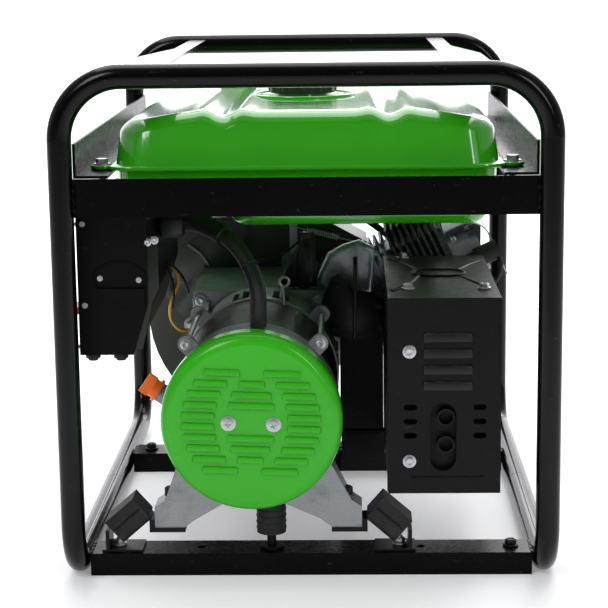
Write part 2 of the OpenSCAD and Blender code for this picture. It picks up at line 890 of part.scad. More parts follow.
module voltage_regulator() {
    color("#20262b") {
        box([84, 26.5, 40], [axis_x - 42, cover_front_y + 5, axis_z + 12]);
        box([30, 15, 22], [axis_x - 15, bell_front_y - 11, axis_z - 50]);
    }
}

// Angled rubber block of an alternator mount, drawn in its own tilted frame
block_l = 41;
block_w = 36;
block_t = 27;
bumper_x = -43;
block_dx = 46;
block_z = 62;
block_tilt = 41;

module at_block(foot_x) {
    side = sign(foot_x - axis_x);
    translate([foot_x + side * block_dx, mount_y, block_z]) mirror([side > 0 ? 1 : 0, 0, 0]) {
        rotate([0, -block_tilt, 0]) children();
    }
}

// Rubber rings under the tank's ears
module tank_grommets() {
    seat_z = plate_z + plate_h + angle_t;
    for (x = [-1, 1], y = [-1, 1]) translate([x * ear_x, y * ear_y, seat_z]) difference() {
        cylinder(r = 11, h = rim_z - 2 - seat_z);
        translate([0, 0, -1]) cylinder(r = 4.1, h = 20);
    }
}

module rubber_mounts() {
    color("#161617") {
        for (x = stud_x) at_block(x) translate([-block_l / 2, -block_w / 2, -block_t / 2]) {
            cube([block_l, block_w, block_t]);
        }
        translate([bumper_x, mount_y, 43]) cylinder(r = 16, h = 36);
        for (x = [-1, 1]) translate([axis_x + x * engine_mount_dx, engine_mount_y, channel_h + 3]) {
            cylinder(r = 20, h = 34);
        }
        tank_grommets();
    }
}

loom_r = 9;
loom_route = [
    [-167.9, -176, 366], [-158, -176.4, 367], [-143, -183, 371], [-127, -190, 372],
    [-104, -205, 365], [-82, -222, 352], [-64, -241, 330], [-55, -262, 308],
    [-54, -273, 288], [-54, -275, 270.3]
];
lead_r = 1.5;
lead_route = [
    [-167.2, -60, 300], [-160, -55, 285], [-172, -40, 250], [-170, -25, 222],
    [-156, -15, 212], [-148.5, -6, 218]
];
hose_r = 4.5;
hose_route = [
    [-186, 130, 351.6], [-185, 131, 343], [-178, 134, 336], [-166, 137, 334], [-120, 141, 338],
    [-40, 142, 345], [40, 142, 338], [98, 144, 300], [123, 148, 274]
];

// Point at t between b and c of the smooth curve through a, b, c and d
function curve_point(a, b, c, d, t) =
    (2 * b + (c - a) * t + (2 * a - 5 * b + 4 * c - d) * t * t + (3 * b - a - 3 * c + d) * t * t * t) / 2;

// Smooth line through a route's points, with steps points to a stretch
function smooth_route(route, steps) = let (last = len(route) - 1) [
    for (i = [0 : last - 1], k = [0 : steps - 1])
        curve_point(route[max(i - 1, 0)], route[i], route[i + 1], route[min(i + 2, last)], k / steps),
    route[last]
];

// Round cable or hose with its middle line along a route
module cable(route, r, sides, steps) {
    path = smooth_route(route, steps);
    last = len(path) - 1;
    rings = [for (i = [0 : last]) let (
        way = path[min(i + 1, last)] - path[max(i - 1, 0)],
        along = way / norm(way),
        flat = cross(along, [0, 1, 0]),
        across = flat / norm(flat),
        over = cross(along, across)
    ) for (k = [0 : sides - 1]) path[i] + r * (cos(k * 360 / sides) * across + sin(k * 360 / sides) * over)];
    walls = [for (i = [0 : last - 1], k = [0 : sides - 1]) let (
        a = i * sides + k,
        b = i * sides + (k + 1) % sides
    ) each [[a, a + sides, b], [b, a + sides, b + sides]]];
    ends = [[for (k = [0 : sides - 1]) k], [for (k = [sides - 1 : -1 : 0]) last * sides + k]];
    polyhedron(points = rings, faces = concat(walls, ends));
}

module wiring_loom() {
    color("#141416") cable(loom_route, loom_r, 10, 5);
    color("#d6a818") cable(lead_route, lead_r, 8, 4);
}

module fuel_hose() {
    color("#1b1b1c") cable(hose_route, hose_r, 10, 5);
}

module mount_brackets() {
    color("#1c1d20") {
        for (x = stud_x) {
            side = sign(x - axis_x);
            at_block(x) translate([-20, -block_w / 2, -block_t / 2 - 3]) cube([38, block_w, 3]);
            translate([x + side * 19 - 3, mount_y - 16, 47]) cube([6, 32, 14]);
            translate([x - 17, mount_y - 16, 47]) cube([34, 32, 5]);
            translate([x + side * (block_dx + 6) - 22, mount_y - 18, channel_h]) cube([44, 36, 3]);
            translate([x + side * (block_dx + 22) - 2, mount_y - 18, channel_h + 3]) cube([4, 36, 22]);
        }
        translate([bumper_x, mount_y, channel_h]) cylinder(r = 14, h = 3);
        translate([bumper_x, mount_y, channel_h + 3]) cylinder(r = 5, h = 15);
        for (x = [-1, 1]) translate([axis_x + x * engine_mount_dx, engine_mount_y, 0]) {
            translate([-26, -20, channel_h]) cube([52, 40, 3]);
            translate([-24, -20, 62]) cube([48, 40, 4]);
        }
    }
}

module panel_profile(t) {
    polygon([
        [panel_face_x, panel_bottom_z + t], [panel_back_x - 17 - 0.6 * t, panel_bottom_z + t],
        [panel_back_x - t, panel_bottom_z + 54], [panel_back_x - t, panel_top_z - t],
        [panel_face_x, panel_top_z - t]
    ]);
}

module panel_box() {
    t = 1.5;
    color("#1d1f22") translate([0, panel_y0 + panel_len, 0]) rotate([90, 0, 0]) difference() {
        linear_extrude(panel_len) panel_profile(0);
        translate([-t, 0, t]) linear_extrude(panel_len - 2 * t) panel_profile(t);
    }
    color("#1d1f22") box([50, 4, 20], [-222, panel_y0 - 4, 298]);
}

panel_hole_y = [-245, -190];
upper_z = 352;
lower_z = 286;

module panel_face() {
    x = panel_face_x - 2;
    color("#26282b") difference() {
        union() {
            box([2, panel_len, panel_top_z - panel_bottom_z], [x, panel_y0, panel_bottom_z]);
            for (y = outlet_y) translate([x, y, upper_z]) rotate([0, -90, 0]) cylinder(r = 24, h = 4);
            for (y = outlet_y) translate([x, y, upper_z + 31]) rotate([90, 0, 0]) {
                translate([-5, 0, -34]) cylinder(r = 2, h = 68);
            }
            for (y = outlet_y, s = [-1, 1]) box([7, 6, 6], [x - 7, y + s * 30 - 3 + s * 5, upper_z + 28]);
        }
        translate([x - 1, panel_hole_y[0], upper_z]) rotate([0, 90, 0]) cylinder(r = 21, h = 4);
        translate([x - 1, panel_hole_y[0], lower_z]) rotate([0, 90, 0]) cylinder(r = 9.05, h = 4);
        translate([x - 1, panel_hole_y[1], lower_z]) rotate([0, 90, 0]) cylinder(r = 6.05, h = 4);
        box([4, 18, 40], [x - 1, panel_hole_y[1] - 9, upper_z - 20]);
    }
}

module voltmeter() {
    x = panel_face_x - 2;
    color("#e8e8e4") translate([x, panel_hole_y[0], upper_z]) rotate([0, -90, 0]) {
        translate([0, 0, -24]) cylinder(r = 21, h = 24);
        translate([-26, -26, 0]) cube([52, 52, 4]);
    }
}

module engine_switch() {
    x = panel_face_x - 2;
    color("#b3171b") translate([x, panel_hole_y[0], lower_z]) rotate([0, -90, 0]) {
        translate([0, 0, -14]) cylinder(r = 9, h = 14.3);
        translate([0, 0, 0.3]) cylinder(r = 16, h = 5);
        translate([-4, -16, 5.3]) cube([8, 32, 9]);
    }
}

module breaker_lever() {
    x = panel_face_x - 2;
    color("#111111") translate([x + 8, panel_hole_y[1], upper_z]) rotate([90, 0, 0]) translate([0, 0, -8]) {
        cylinder(r = 6, h = 16);
        rotate([0, 0, 200]) translate([0, -4, 0]) cube([24, 8, 16]);
    }
}

module dc_breaker_button() {
    x = panel_face_x - 2;
    color("#cfd2d6") translate([x, panel_hole_y[1], lower_z]) rotate([0, -90, 0]) {
        translate([0, 0, -14]) cylinder(r = 6, h = 14);
        cylinder(r = 4.5, h = 7);
    }
}

module outlet_cover(y) {
    x = panel_face_x - 2;
    color("#17181a") translate([x - 5, y, upper_z + 31]) difference() {
        union() {
            rotate([90, 0, 0]) translate([0, 0, -29]) cylinder(r = 4.4, h = 58);
            box([3, 58, 62], [-3.4, -29, -62]);
            box([7, 14, 6], [-9, -7, -62]);
        }
        rotate([90, 0, 0]) translate([0, 0, -30]) cylinder(r = 2.05, h = 60);
    }
}

module outlet_cover_left() {
    outlet_cover(outlet_y[0]);
}

module outlet_cover_right() {
    outlet_cover(outlet_y[1]);
}

front_hoop();
rear_hoop();
rail_sleeves();
cross_channels();
fuel_hose();
tank_support_rails();
top_straps();
fuel_tank();
tank_bolts();
wiring_loom();
fuel_cap_plug();
fuel_cap();
fuel_gauge();
fuel_valve();
fuel_valve_lever();
crankcase();
crankcase_cover();
cylinder_block();
cylinder_head();
valve_cover();
head_shroud();
spark_plug();
plug_boot();
fan_housing();
recoil_housing();
recoil_handle();
recoil_rope();
recoil_pulley();
flywheel();
crankshaft();
camshaft();
oil_filler_cap();
carburetor();
choke_lever();
air_cleaner_base();
air_filter_element();
air_cleaner_cover();
governor_arm();
exhaust_pipe();
muffler();
muffler_shield();
outlet_pipes();
heat_shield();
adapter_bell();
stator();
end_bell();
end_cover();
rotor();
end_bearing();
voltage_regulator();
rubber_mounts();
mount_brackets();
panel_box();
panel_face();
voltmeter();
engine_switch();
breaker_lever();
dc_breaker_button();
outlet_cover_left();
outlet_cover_right();
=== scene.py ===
import logging
import math
from dataclasses import dataclass, field
from enum import Enum
from typing import Callable, Iterable, Optional, Sequence, Union

import bmesh
import bpy
from mathutils import Matrix, Vector


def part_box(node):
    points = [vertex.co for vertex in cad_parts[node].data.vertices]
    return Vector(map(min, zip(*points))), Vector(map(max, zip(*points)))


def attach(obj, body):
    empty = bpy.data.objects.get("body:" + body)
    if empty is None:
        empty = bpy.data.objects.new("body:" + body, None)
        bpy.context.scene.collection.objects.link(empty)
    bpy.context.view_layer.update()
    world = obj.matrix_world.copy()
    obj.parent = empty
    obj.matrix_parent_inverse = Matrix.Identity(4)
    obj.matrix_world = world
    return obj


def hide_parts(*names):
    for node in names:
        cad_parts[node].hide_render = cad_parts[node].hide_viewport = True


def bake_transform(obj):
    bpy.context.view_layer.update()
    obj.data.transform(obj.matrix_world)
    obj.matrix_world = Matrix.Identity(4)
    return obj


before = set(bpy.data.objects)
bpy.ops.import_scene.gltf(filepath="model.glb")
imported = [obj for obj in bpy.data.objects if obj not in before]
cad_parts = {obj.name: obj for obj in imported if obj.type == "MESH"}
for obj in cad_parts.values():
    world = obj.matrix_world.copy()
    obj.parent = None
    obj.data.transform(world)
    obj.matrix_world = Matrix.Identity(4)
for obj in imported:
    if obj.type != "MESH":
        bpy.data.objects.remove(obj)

# Open-frame petrol generator. Lengths are metres, X to the right of the alternator end,
# Y from the alternator to the starter end, Z up, with the origin on the ground.

LOG = logging.getLogger("generator")
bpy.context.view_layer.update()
MM = 0.001
Point = tuple[float, float, float]
Number = Union[int, float]


def linear(code: str) -> tuple[float, float, float, float]:
    """Turns a display colour code into the linear colour that a shader takes.

    Args:
        code: Six hexadecimal digits, red first.

    Returns:
        Red, green, blue and an alpha of 1.
    """
    channels = [int(code[i : i + 2], 16) / 255 for i in (0, 2, 4)]
    curve = [c / 12.92 if c <= 0.04045 else ((c + 0.055) / 1.055) ** 2.4 for c in channels]
    return (curve[0], curve[1], curve[2], 1.0)


def mm(*values: Number) -> Vector:
    """Makes a vector in metres from lengths in millimetres."""
    return Vector([v * MM for v in values])


# ---------------------------------------------------------------- shader tools


class Wire:
    """A shader value on which Python arithmetic adds the Math nodes."""

    def __init__(self, recipe: "Recipe", socket: bpy.types.NodeSocket) -> None:
        """Keeps the recipe that the value belongs to and its socket."""
        self.recipe = recipe
        self.socket = socket

    def _math(self, operation: str, first: object, second: object = None) -> "Wire":
        """Adds a Math node.

        Args:
            operation: The Math node's operation.
            first: Its first value, a Wire or a number.
            second: Its second value, if it has one.

        Returns:
            The node's result.
        """
        values = [first] if second is None else [first, second]
        return self.recipe.node("ShaderNodeMath", {"operation": operation}, values)

    def __add__(self, other: object) -> "Wire":
        """Adds."""
        return self._math("ADD", self, other)

    def __radd__(self, other: object) -> "Wire":
        """Adds, with the number first."""
        return self._math("ADD", other, self)

    def __sub__(self, other: object) -> "Wire":
        """Takes away."""
        return self._math("SUBTRACT", self, other)

    def __rsub__(self, other: object) -> "Wire":
        """Takes away from a number."""
        return self._math("SUBTRACT", other, self)

    def __mul__(self, other: object) -> "Wire":
        """Multiplies."""
        return self._math("MULTIPLY", self, other)

    def __rmul__(self, other: object) -> "Wire":
        """Multiplies, with the number first."""
        return self._math("MULTIPLY", other, self)

    def __gt__(self, other: object) -> "Wire":
        """Gives 1 where the value is above the other."""
        return self._math("GREATER_THAN", self, other)

    def __pow__(self, other: object) -> "Wire":
        """Raises to a power."""
        return self._math("POWER", self, other)

    def ramp(self, low: float, high: float) -> "Wire":
        """Stretches the value smoothly from 0 at low to 1 at high."""
        settings = {"interpolation_type": "SMOOTHSTEP", "clamp": True}
        return self.recipe.node("ShaderNodeMapRange", settings, [self, low, high, 0.0, 1.0])


class Recipe:
    """One material's node tree and the single method that adds a node to it."""

    def __init__(self, name: str) -> None:
        """Starts a material with its shader and output."""
        self.material = bpy.data.materials.new(name)
        self.material.use_nodes = True
        self.tree = self.material.node_tree
        self.tree.nodes.clear()
        self.shader = self.tree.nodes.new("ShaderNodeBsdfPrincipled")
        output = self.tree.nodes.new("ShaderNodeOutputMaterial")
        self.tree.links.new(self.shader.outputs[0], output.inputs[0])
        self.place = self.node("ShaderNodeTexCoord", output="Object")

    def node(
        self,
        kind: str,
        settings: Optional[dict] = None,
        values: Union[Sequence, dict] = (),
        output: Union[int, str] = 0,
    ) -> Wire:
        """Adds a node.

        Args:
            kind: The node's type.
            settings: Its settings, set before its sockets.
            values: Values or wires for its sockets, in order or by name.
            output: The output that is handed back.

        Returns:
            That output as a Wire.
        """
        made = self.tree.nodes.new(kind)
        for key, value in (settings or {}).items():
            if key == "stops":
                ramp = made.color_ramp
                while len(ramp.elements) < len(value):
                    ramp.elements.new(0.5)
                for element, (position, colour) in zip(ramp.elements, value):
                    element.position = position
                    element.color = colour
            else:
                setattr(made, key, value)
        pairs = values.items() if isinstance(values, dict) else enumerate(values)
        for key, value in pairs:
            self.feed(made.inputs[key], value)
        return Wire(self, made.outputs[output])

    def feed(self, socket: bpy.types.NodeSocket, value: object) -> None:
        """Links a wire to a socket or sets the socket's own value.

        Args:
            socket: The socket that takes it.
            value: A Wire, a number or a colour.
        """
        if isinstance(value, Wire):
            self.tree.links.new(value.socket, socket)
        else:
            socket.default_value = value

    def set(self, **values: object) -> None:
        """Feeds the shader's sockets, whose names are written with _ for a space."""
        for key, value in values.items():
            self.feed(self.shader.inputs[key.replace("_", " ")], value)

    def noise(
        self, size: float, detail: float = 3.0, rough: float = 0.55, stretch: Point = (1, 1, 1)
    ) -> Wire:
        """Makes a noise pattern.

        Args:
            size: The size of its features in metres.
            detail: Its octaves.
            rough: How strong the small octaves are.
            stretch: How many times finer it is along X, Y and Z.

        Returns:
            The pattern from 0 to 1.
        """
        place = self.node("ShaderNodeMapping", {}, {0: self.place, "Scale": stretch})
        values = {"Vector": place, "Scale": 1 / size, "Detail": detail, "Roughness": rough}
        return self.node("ShaderNodeTexNoise", {}, values)

    def blend(self, mask: Wire, low: object, high: object) -> Wire:
        """Mixes two colours by a mask."""
        settings = {"data_type": "RGBA"}
        return self.node("ShaderNodeMix", settings, {0: mask, 6: low, 7: high}, output=2)

    def upward(self) -> Wire:
        """Gives the upward share of the surface's direction."""
        normal = self.node("ShaderNodeNewGeometry", output="Normal")
        return self.node("ShaderNodeSeparateXYZ", {}, [normal], output="Z")

    def bump(self, height: Wire, depth: float, below: Optional[Wire] = None) -> Wire:
        """Makes a bumped surface direction.

        Args:
            height: The height pattern, 0 to 1.
            depth: The height in metres that a pattern value of 1 stands for.
            below: A direction that it starts from.

        Returns:
            The direction for the shader's Normal.
        """
        values = {"Height": height, "Distance": depth, "Strength": 1.0}
        if below is not None:
            values["Normal"] = below
        return self.node("ShaderNodeBump", {}, values)


# ---------------------------------------------------------------- finishes


@dataclass(frozen=True)
class Finish:
    """A surface finish that makes its material once."""

    name: str
    colour: str
    rough: float = 0.4

    def material(self) -> bpy.types.Material:
        """Gives the material, made the first time that it is asked for."""
        name = f"{self.name}_finish"
        found = bpy.data.materials.get(name)
        if found:
            return found
        recipe = Recipe(name)
        self.mix(recipe)
        return recipe.material

    def mix(self, r: Recipe) -> None:
        """Builds the material's nodes."""
        r.set(Base_Color=linear(self.colour), Roughness=self.rough)


@dataclass(frozen=True)
class Paint(Finish):
    """Sprayed or powder-coated steel with a clear gloss, faint orange peel and settled dust."""

    rough: float = 0.22
    coat: float = 0.6
    peel: float = 0.00006
    peel_size: float = 0.0016
    dust: float = 0.10
    shade: str = "000000"
    sheen_patch: float = 0.06
    metal: float = 0.0
    shine: float = 0.5

    def mix(self, r: Recipe) -> None:
        """Builds the coat: mottled colour, dust on top faces, scuffs and orange peel."""
        cloud = r.noise(0.06, 4)
        fine = r.noise(0.0022, 4, 0.65)
        scuff = r.noise(0.014, 6, 0.72, (1, 1, 2.5)).ramp(0.60, 0.72) * fine.ramp(0.42, 0.62)
        settle = r.upward().ramp(0.5, 1.0) * r.noise(0.009, 6, 0.7).ramp(0.42, 0.78) * self.dust
        base = r.blend(cloud.ramp(0.35, 0.7) * 0.25, linear(self.colour), linear(self.shade))
        scuffed = r.blend(scuff * 0.10, base, linear("9a9d9f"))
        r.set(
            Base_Color=r.blend(settle, scuffed, linear("8f8a80")),
            Roughness=self.rough + cloud * self.sheen_patch + scuff * 0.18 + settle * 0.9,
            Metallic=self.metal,
            Specular_IOR_Level=self.shine,
            Coat_Weight=self.coat,
            Coat_Roughness=0.06,
            Normal=r.bump(r.noise(self.peel_size, 2, 0.4), self.peel),
        )


@dataclass(frozen=True)
class CastMetal(Finish):
    """Die-cast or sand-cast metal: grainy skin, darker oily stains and brighter high spots."""

    rough: float = 0.42
    stain: str = "3c3a37"
    stain_share: float = 0.35
    grain_size: float = 0.0011
    grain: float = 0.00012
    metal: float = 0.92

    def mix(self, r: Recipe) -> None:
        """Builds the casting's grain, stains and flow marks."""
        grain = r.noise(self.grain_size, 5, 0.7)
        cloud = r.noise(0.028, 6, 0.65)
        pits = r.noise(0.0032, 3, 0.6).ramp(0.62, 0.74)
        dirt = cloud.ramp(0.44, 0.74) * self.stain_share + pits * 0.22
        pale = r.blend(grain.ramp(0.35, 0.75) * 0.35, linear(self.colour), linear("d2d4d6"))
        r.set(
            Base_Color=r.blend(dirt, pale, linear(self.stain)),
            Roughness=self.rough + grain * 0.16 + dirt * 0.35,
            Metallic=self.metal,
            Normal=r.bump(grain - pits * 0.6, self.grain),
        )


@dataclass(frozen=True)
class PlatedSteel(Finish):
    """Zinc-plated or bright fastener steel: smooth, with faint swirls and yellowed patches."""

    rough: float = 0.24
    tint: str = "b7a77c"
    tint_share: float = 0.22
    metal: float = 0.96

    def mix(self, r: Recipe) -> None:
        """Builds the plating's tarnish and tool marks."""
        swirl = r.noise(0.0016, 5, 0.7, (1, 1, 4))
        patch = r.noise(0.008, 4, 0.6)
        marks = r.noise(0.0005, 3, 0.7).ramp(0.5, 0.8)
        tarnish = r.blend(patch.ramp(0.42, 0.75) * self.tint_share, linear(self.colour), linear(self.tint))
        r.set(
            Base_Color=r.blend(marks * 0.25, tarnish, linear("54565a")),
            Roughness=self.rough + swirl * 0.18 + patch * 0.10,
            Metallic=self.metal,
            Normal=r.bump(swirl, 0.00003),
        )


@dataclass(frozen=True)
class MouldedPlastic(Finish):
    """Moulded plastic with spark-eroded texture, soft sheen, scuffs and dust."""

    rough: float = 0.45
    texture: float = 0.00005
    texture_size: float = 0.0007
    dust: float = 0.12

    def mix(self, r: Recipe) -> None:
        """Builds the moulded grain, its rubbed patches and dust."""
        grain = r.noise(self.texture_size, 3, 0.6)
        rub = r.noise(0.022, 6, 0.7).ramp(0.5, 0.72)
        settle = r.upward().ramp(0.4, 1.0) * r.noise(0.006, 6, 0.7).ramp(0.4, 0.75) * self.dust
        base = r.blend(rub * 0.12, linear(self.colour), linear("77787a"))
        r.set(
            Base_Color=r.blend(settle, base, linear("8c877d")),
            Roughness=self.rough + grain * 0.10 - rub * 0.10 + settle * 0.5,
            Specular_IOR_Level=0.5,
            Normal=r.bump(grain, self.texture),
        )


@dataclass(frozen=True)
class Rubber(Finish):
    """Vulcanised rubber with a mould bloom and a fine matt skin."""

    rough: float = 0.62

    def mix(self, r: Recipe) -> None:
        """Builds the bloom, specks and skin."""
        bloom = r.noise(0.018, 6, 0.7).ramp(0.45, 0.8)
        skin = r.noise(0.0006, 4, 0.65)
        specks = r.noise(0.0015, 2, 0.5).ramp(0.66, 0.74)
        base = r.blend(bloom * 0.25 + specks * 0.2, linear(self.colour), linear("5d5a55"))
        r.set(
            Base_Color=base,
            Roughness=self.rough + skin * 0.15 - bloom * 0.08,
            Normal=r.bump(skin, 0.00008),
        )


@dataclass(frozen=True)
class Lamination(Finish):
    """Stacked steel laminations seen on edge, lightly rusted between the sheets."""

    rough: float = 0.38
    sheet: float = 0.0026

    def mix(self, r: Recipe) -> None:
        """Builds the sheet lines along Y and the rust bloom."""
        values = {"Vector": r.place, "Scale": 1 / self.sheet / 3.2, "Distortion": 0.1, "Detail": 1.0}
        lines = r.node("ShaderNodeTexWave", {"bands_direction": "Y"}, values, output="Fac")
        rust = r.noise(0.012, 6, 0.7).ramp(0.5, 0.75)
        base = r.blend(lines * 0.55, linear("2a2a2b"), linear(self.colour))
        r.set(
            Base_Color=r.blend(rust * 0.35, base, linear("5d3d28")),
            Roughness=self.rough + rust * 0.3,
            Metallic=0.8 - rust * 0.5,
            Normal=r.bump(lines, 0.0002),
        )


@dataclass(frozen=True)
class HeatedSteel(Finish):
    """Exhaust steel with straw, violet and blue heat colours and soot."""

    rough: float = 0.34
    band: float = 0.05

    def mix(self, r: Recipe) -> None:
        """Builds the heat bands from slow noise, then the soot."""
        heat = r.noise(self.band, 2, 0.5)
        stops = [
            (0.30, linear("8d8f92")),
            (0.45, linear("9b8458")),
            (0.53, linear("6e4a5c")),
            (0.62, linear("454e73")),
            (0.75, linear("7b7f84")),
        ]
        tint = r.node("ShaderNodeValToRGB", {"stops": stops}, [heat])
        soot = r.noise(0.011, 6, 0.7).ramp(0.48, 0.75)
        fine = r.noise(0.0009, 3, 0.6)
        r.set(
            Base_Color=r.blend(soot * 0.45, tint, linear("1b1917")),
            Roughness=self.rough + soot * 0.3 + fine * 0.08,
            Metallic=0.9 - soot * 0.3,
            Normal=r.bump(fine, 0.00006),
        )


@dataclass(frozen=True)
class Foam(Finish):
    """Open-cell filter foam."""

    rough: float = 0.9

    def mix(self, r: Recipe) -> None:
        """Builds the cells."""
        cells = r.node("ShaderNodeTexVoronoi", {}, {"Vector": r.place, "Scale": 600.0})
        base = r.blend(cells.ramp(0.2, 0.6), linear("181818"), linear(self.colour))
        r.set(Base_Color=base, Roughness=self.rough - cells * 0.1, Normal=r.bump(cells, 0.0006))


@dataclass(frozen=True)
class Winding(Finish):
    """Varnished copper wire in close turns."""

    rough: float = 0.28
    wire: float = 0.0016

    def mix(self, r: Recipe) -> None:
        """Builds the turns and the varnish."""
        values = {"Vector": r.place, "Scale": 1 / self.wire / 3.2, "Distortion": 2.0, "Detail": 1.0}
        turns = r.node("ShaderNodeTexWave", {"bands_direction": "DIAGONAL"}, values, output="Fac")
        varnish = r.noise(0.01, 4, 0.6)
        base = r.blend(turns, linear("4a1f0c"), linear(self.colour))
        r.set(
            Base_Color=r.blend(varnish.ramp(0.5, 0.8) * 0.4, base, linear("3a2413")),
            Roughness=self.rough + varnish * 0.2,
            Metallic=0.75,
            Coat_Weight=0.5,
            Normal=r.bump(turns, 0.0004),
        )


@dataclass(frozen=True)
class Cordage(Finish):
    """Braided cord or a woven cable sleeve."""

    rough: float = 0.6
    strand: float = 0.0016
    depth: float = 0.0003
    contrast: str = "000000"

    def mix(self, r: Recipe) -> None:
        """Builds two crossing strand directions."""
        scale = 1 / self.strand / 3.2
        values = {"Vector": r.place, "Scale": scale, "Distortion": 0.4, "Detail": 1.0}
        turned = r.node("ShaderNodeMapping", {}, {0: r.place, "Rotation": (0.0, 1.57, 0.0)})
        slant = {"bands_direction": "DIAGONAL"}
        one, two = (
            r.node("ShaderNodeTexWave", slant, {**values, "Vector": place}, output="Fac")
            for place in (r.place, turned)
        )
        weave = one * two
        grime = r.noise(0.008, 5, 0.7).ramp(0.45, 0.8)
        base = r.blend(weave.ramp(0.1, 0.6), linear(self.contrast), linear(self.colour))
        r.set(
            Base_Color=r.blend(grime * 0.2, base, linear("5c574e")),
            Roughness=self.rough + grime * 0.1,
            Normal=r.bump(weave, self.depth),
        )


class Shop(Enum):
    """The finishes in use, by what they cover."""

    FRAME = Paint("frame_gloss_black", "020203", 0.14, coat=0.1, shade="050608", dust=0.02, shine=0.16)
    BRACKET = Paint("bracket_satin_black", "060607", 0.36, coat=0.0, shade="0c0d0f", dust=0.05, shine=0.2)
    CHANNEL = Paint("channel_semi_gloss_black", "020203", 0.24, coat=0.0, shade="060708",
                    dust=0.04, shine=0.08)
    TANK = Paint("tank_green_enamel", "36ae13", 0.14, coat=0.9, peel=0.00003, shade="2f9f10", dust=0.02)
    COVER = Paint("cover_green_enamel", "35b416", 0.24, coat=0.2, peel=0.00004, shade="2ea313",
                  dust=0.03, shine=0.25)
    MUFFLER = Paint("heat_resistant_black", "070708", 0.44, coat=0.0, peel=0.00012, peel_size=0.0011,
                    shade="0e0e0f", dust=0.05, shine=0.2)
    GUARD = Paint("guard_black", "060606", 0.30, coat=0.0, peel=0.00010, peel_size=0.0013,
                  shade="0d0d0e", dust=0.35, shine=0.16)
    # Paler black for the louvre hoods, which are pressed from the guard's own black sheet: a painted
    # highlight for the light that the raised hoods catch.
    LOUVRE = Paint("louvre_black_painted_highlight", "161516", 0.28, coat=0.0, shade="1e1c1e", dust=0.3, shine=0.4)
    PANEL = Paint("panel_charcoal", "050506", 0.40, coat=0.0, peel=0.00012, peel_size=0.0010,
                  shade="0a0a0b", dust=0.05, shine=0.1)
    OLIVE = Paint("bracket_dark_green", "0e150d", 0.36, coat=0.1, shade="172017", dust=0.05, shine=0.3)
    PLATE = Paint("plate_grey_green", "3d443d", 0.40, coat=0.1, shade="2c332d", dust=0.08, metal=0.4)
    CASTING = CastMetal("cast_aluminium", "94969a", 0.44, stain="4a4540", stain_share=0.34)
    BLACK_CASTING = CastMetal("cast_black_head", "26282a", 0.5, stain="111111", metal=0.55)
    CYLINDER = CastMetal("cast_cylinder", "8d8ca0", 0.34, stain="3d3550", stain_share=0.55)
    IRON = CastMetal("cast_iron", "4c4d50", 0.5, stain="3a2a20", stain_share=0.5)
    MACHINED = CastMetal("machined_steel", "b4b6b9", 0.25, stain="6b6a67", stain_share=0.15, grain=0.00003)
    ZINC = PlatedSteel("zinc_plate", "c3c6c9")
    BRASS = PlatedSteel("brass", "b08c44", 0.3, tint="6d5526")
    DARK_BOLT = PlatedSteel("black_oxide", "2c2d30", 0.36, tint="4b4034")
    PLASTIC = MouldedPlastic("black_plastic", "0d0e0f", 0.42)
    SOFT_PLASTIC = MouldedPlastic("black_plastic_cap", "17181a", 0.5)
    WHITE = MouldedPlastic("meter_white", "d9dad6", 0.3, dust=0.05)
    RED = MouldedPlastic("switch_red", "b3201a", 0.35, dust=0.05)
    ORANGE = MouldedPlastic("orange_plastic", "ff7d14", 0.36, dust=0.04)
    YELLOW = MouldedPlastic("yellow_insulation", "d6a818", 0.4, dust=0.03)
    CAP = MouldedPlastic("fuel_cap_plastic", "1b1c1e", 0.32, dust=0.05)
    RUBBER = Rubber("rubber", "0c0c0d")
    LAMINATION = Lamination("stator_laminations", "6a6c70")
    EXHAUST = HeatedSteel("exhaust_steel", "8d8f92")
    SILVER = PlatedSteel("shroud_steel", "c0c5ce", 0.26, tint="5c6470", tint_share=0.4, metal=0.7)
    FOAM = Foam("filter_foam", "3a3a3a")
    COPPER = Winding("copper_winding", "b5602a")
    ROPE = Cordage("starter_rope", "d8d2c0", contrast="7d7768")
    SLEEVE = Cordage("loom_sleeve", "141416", 0.5, strand=0.0022, contrast="040404")

    def put_on(self, piece: bpy.types.Object) -> None:
        """Gives a piece this finish alone."""
        piece.data.materials.clear()
        piece.data.materials.append(self.value.material())


# ---------------------------------------------------------------- bench tools


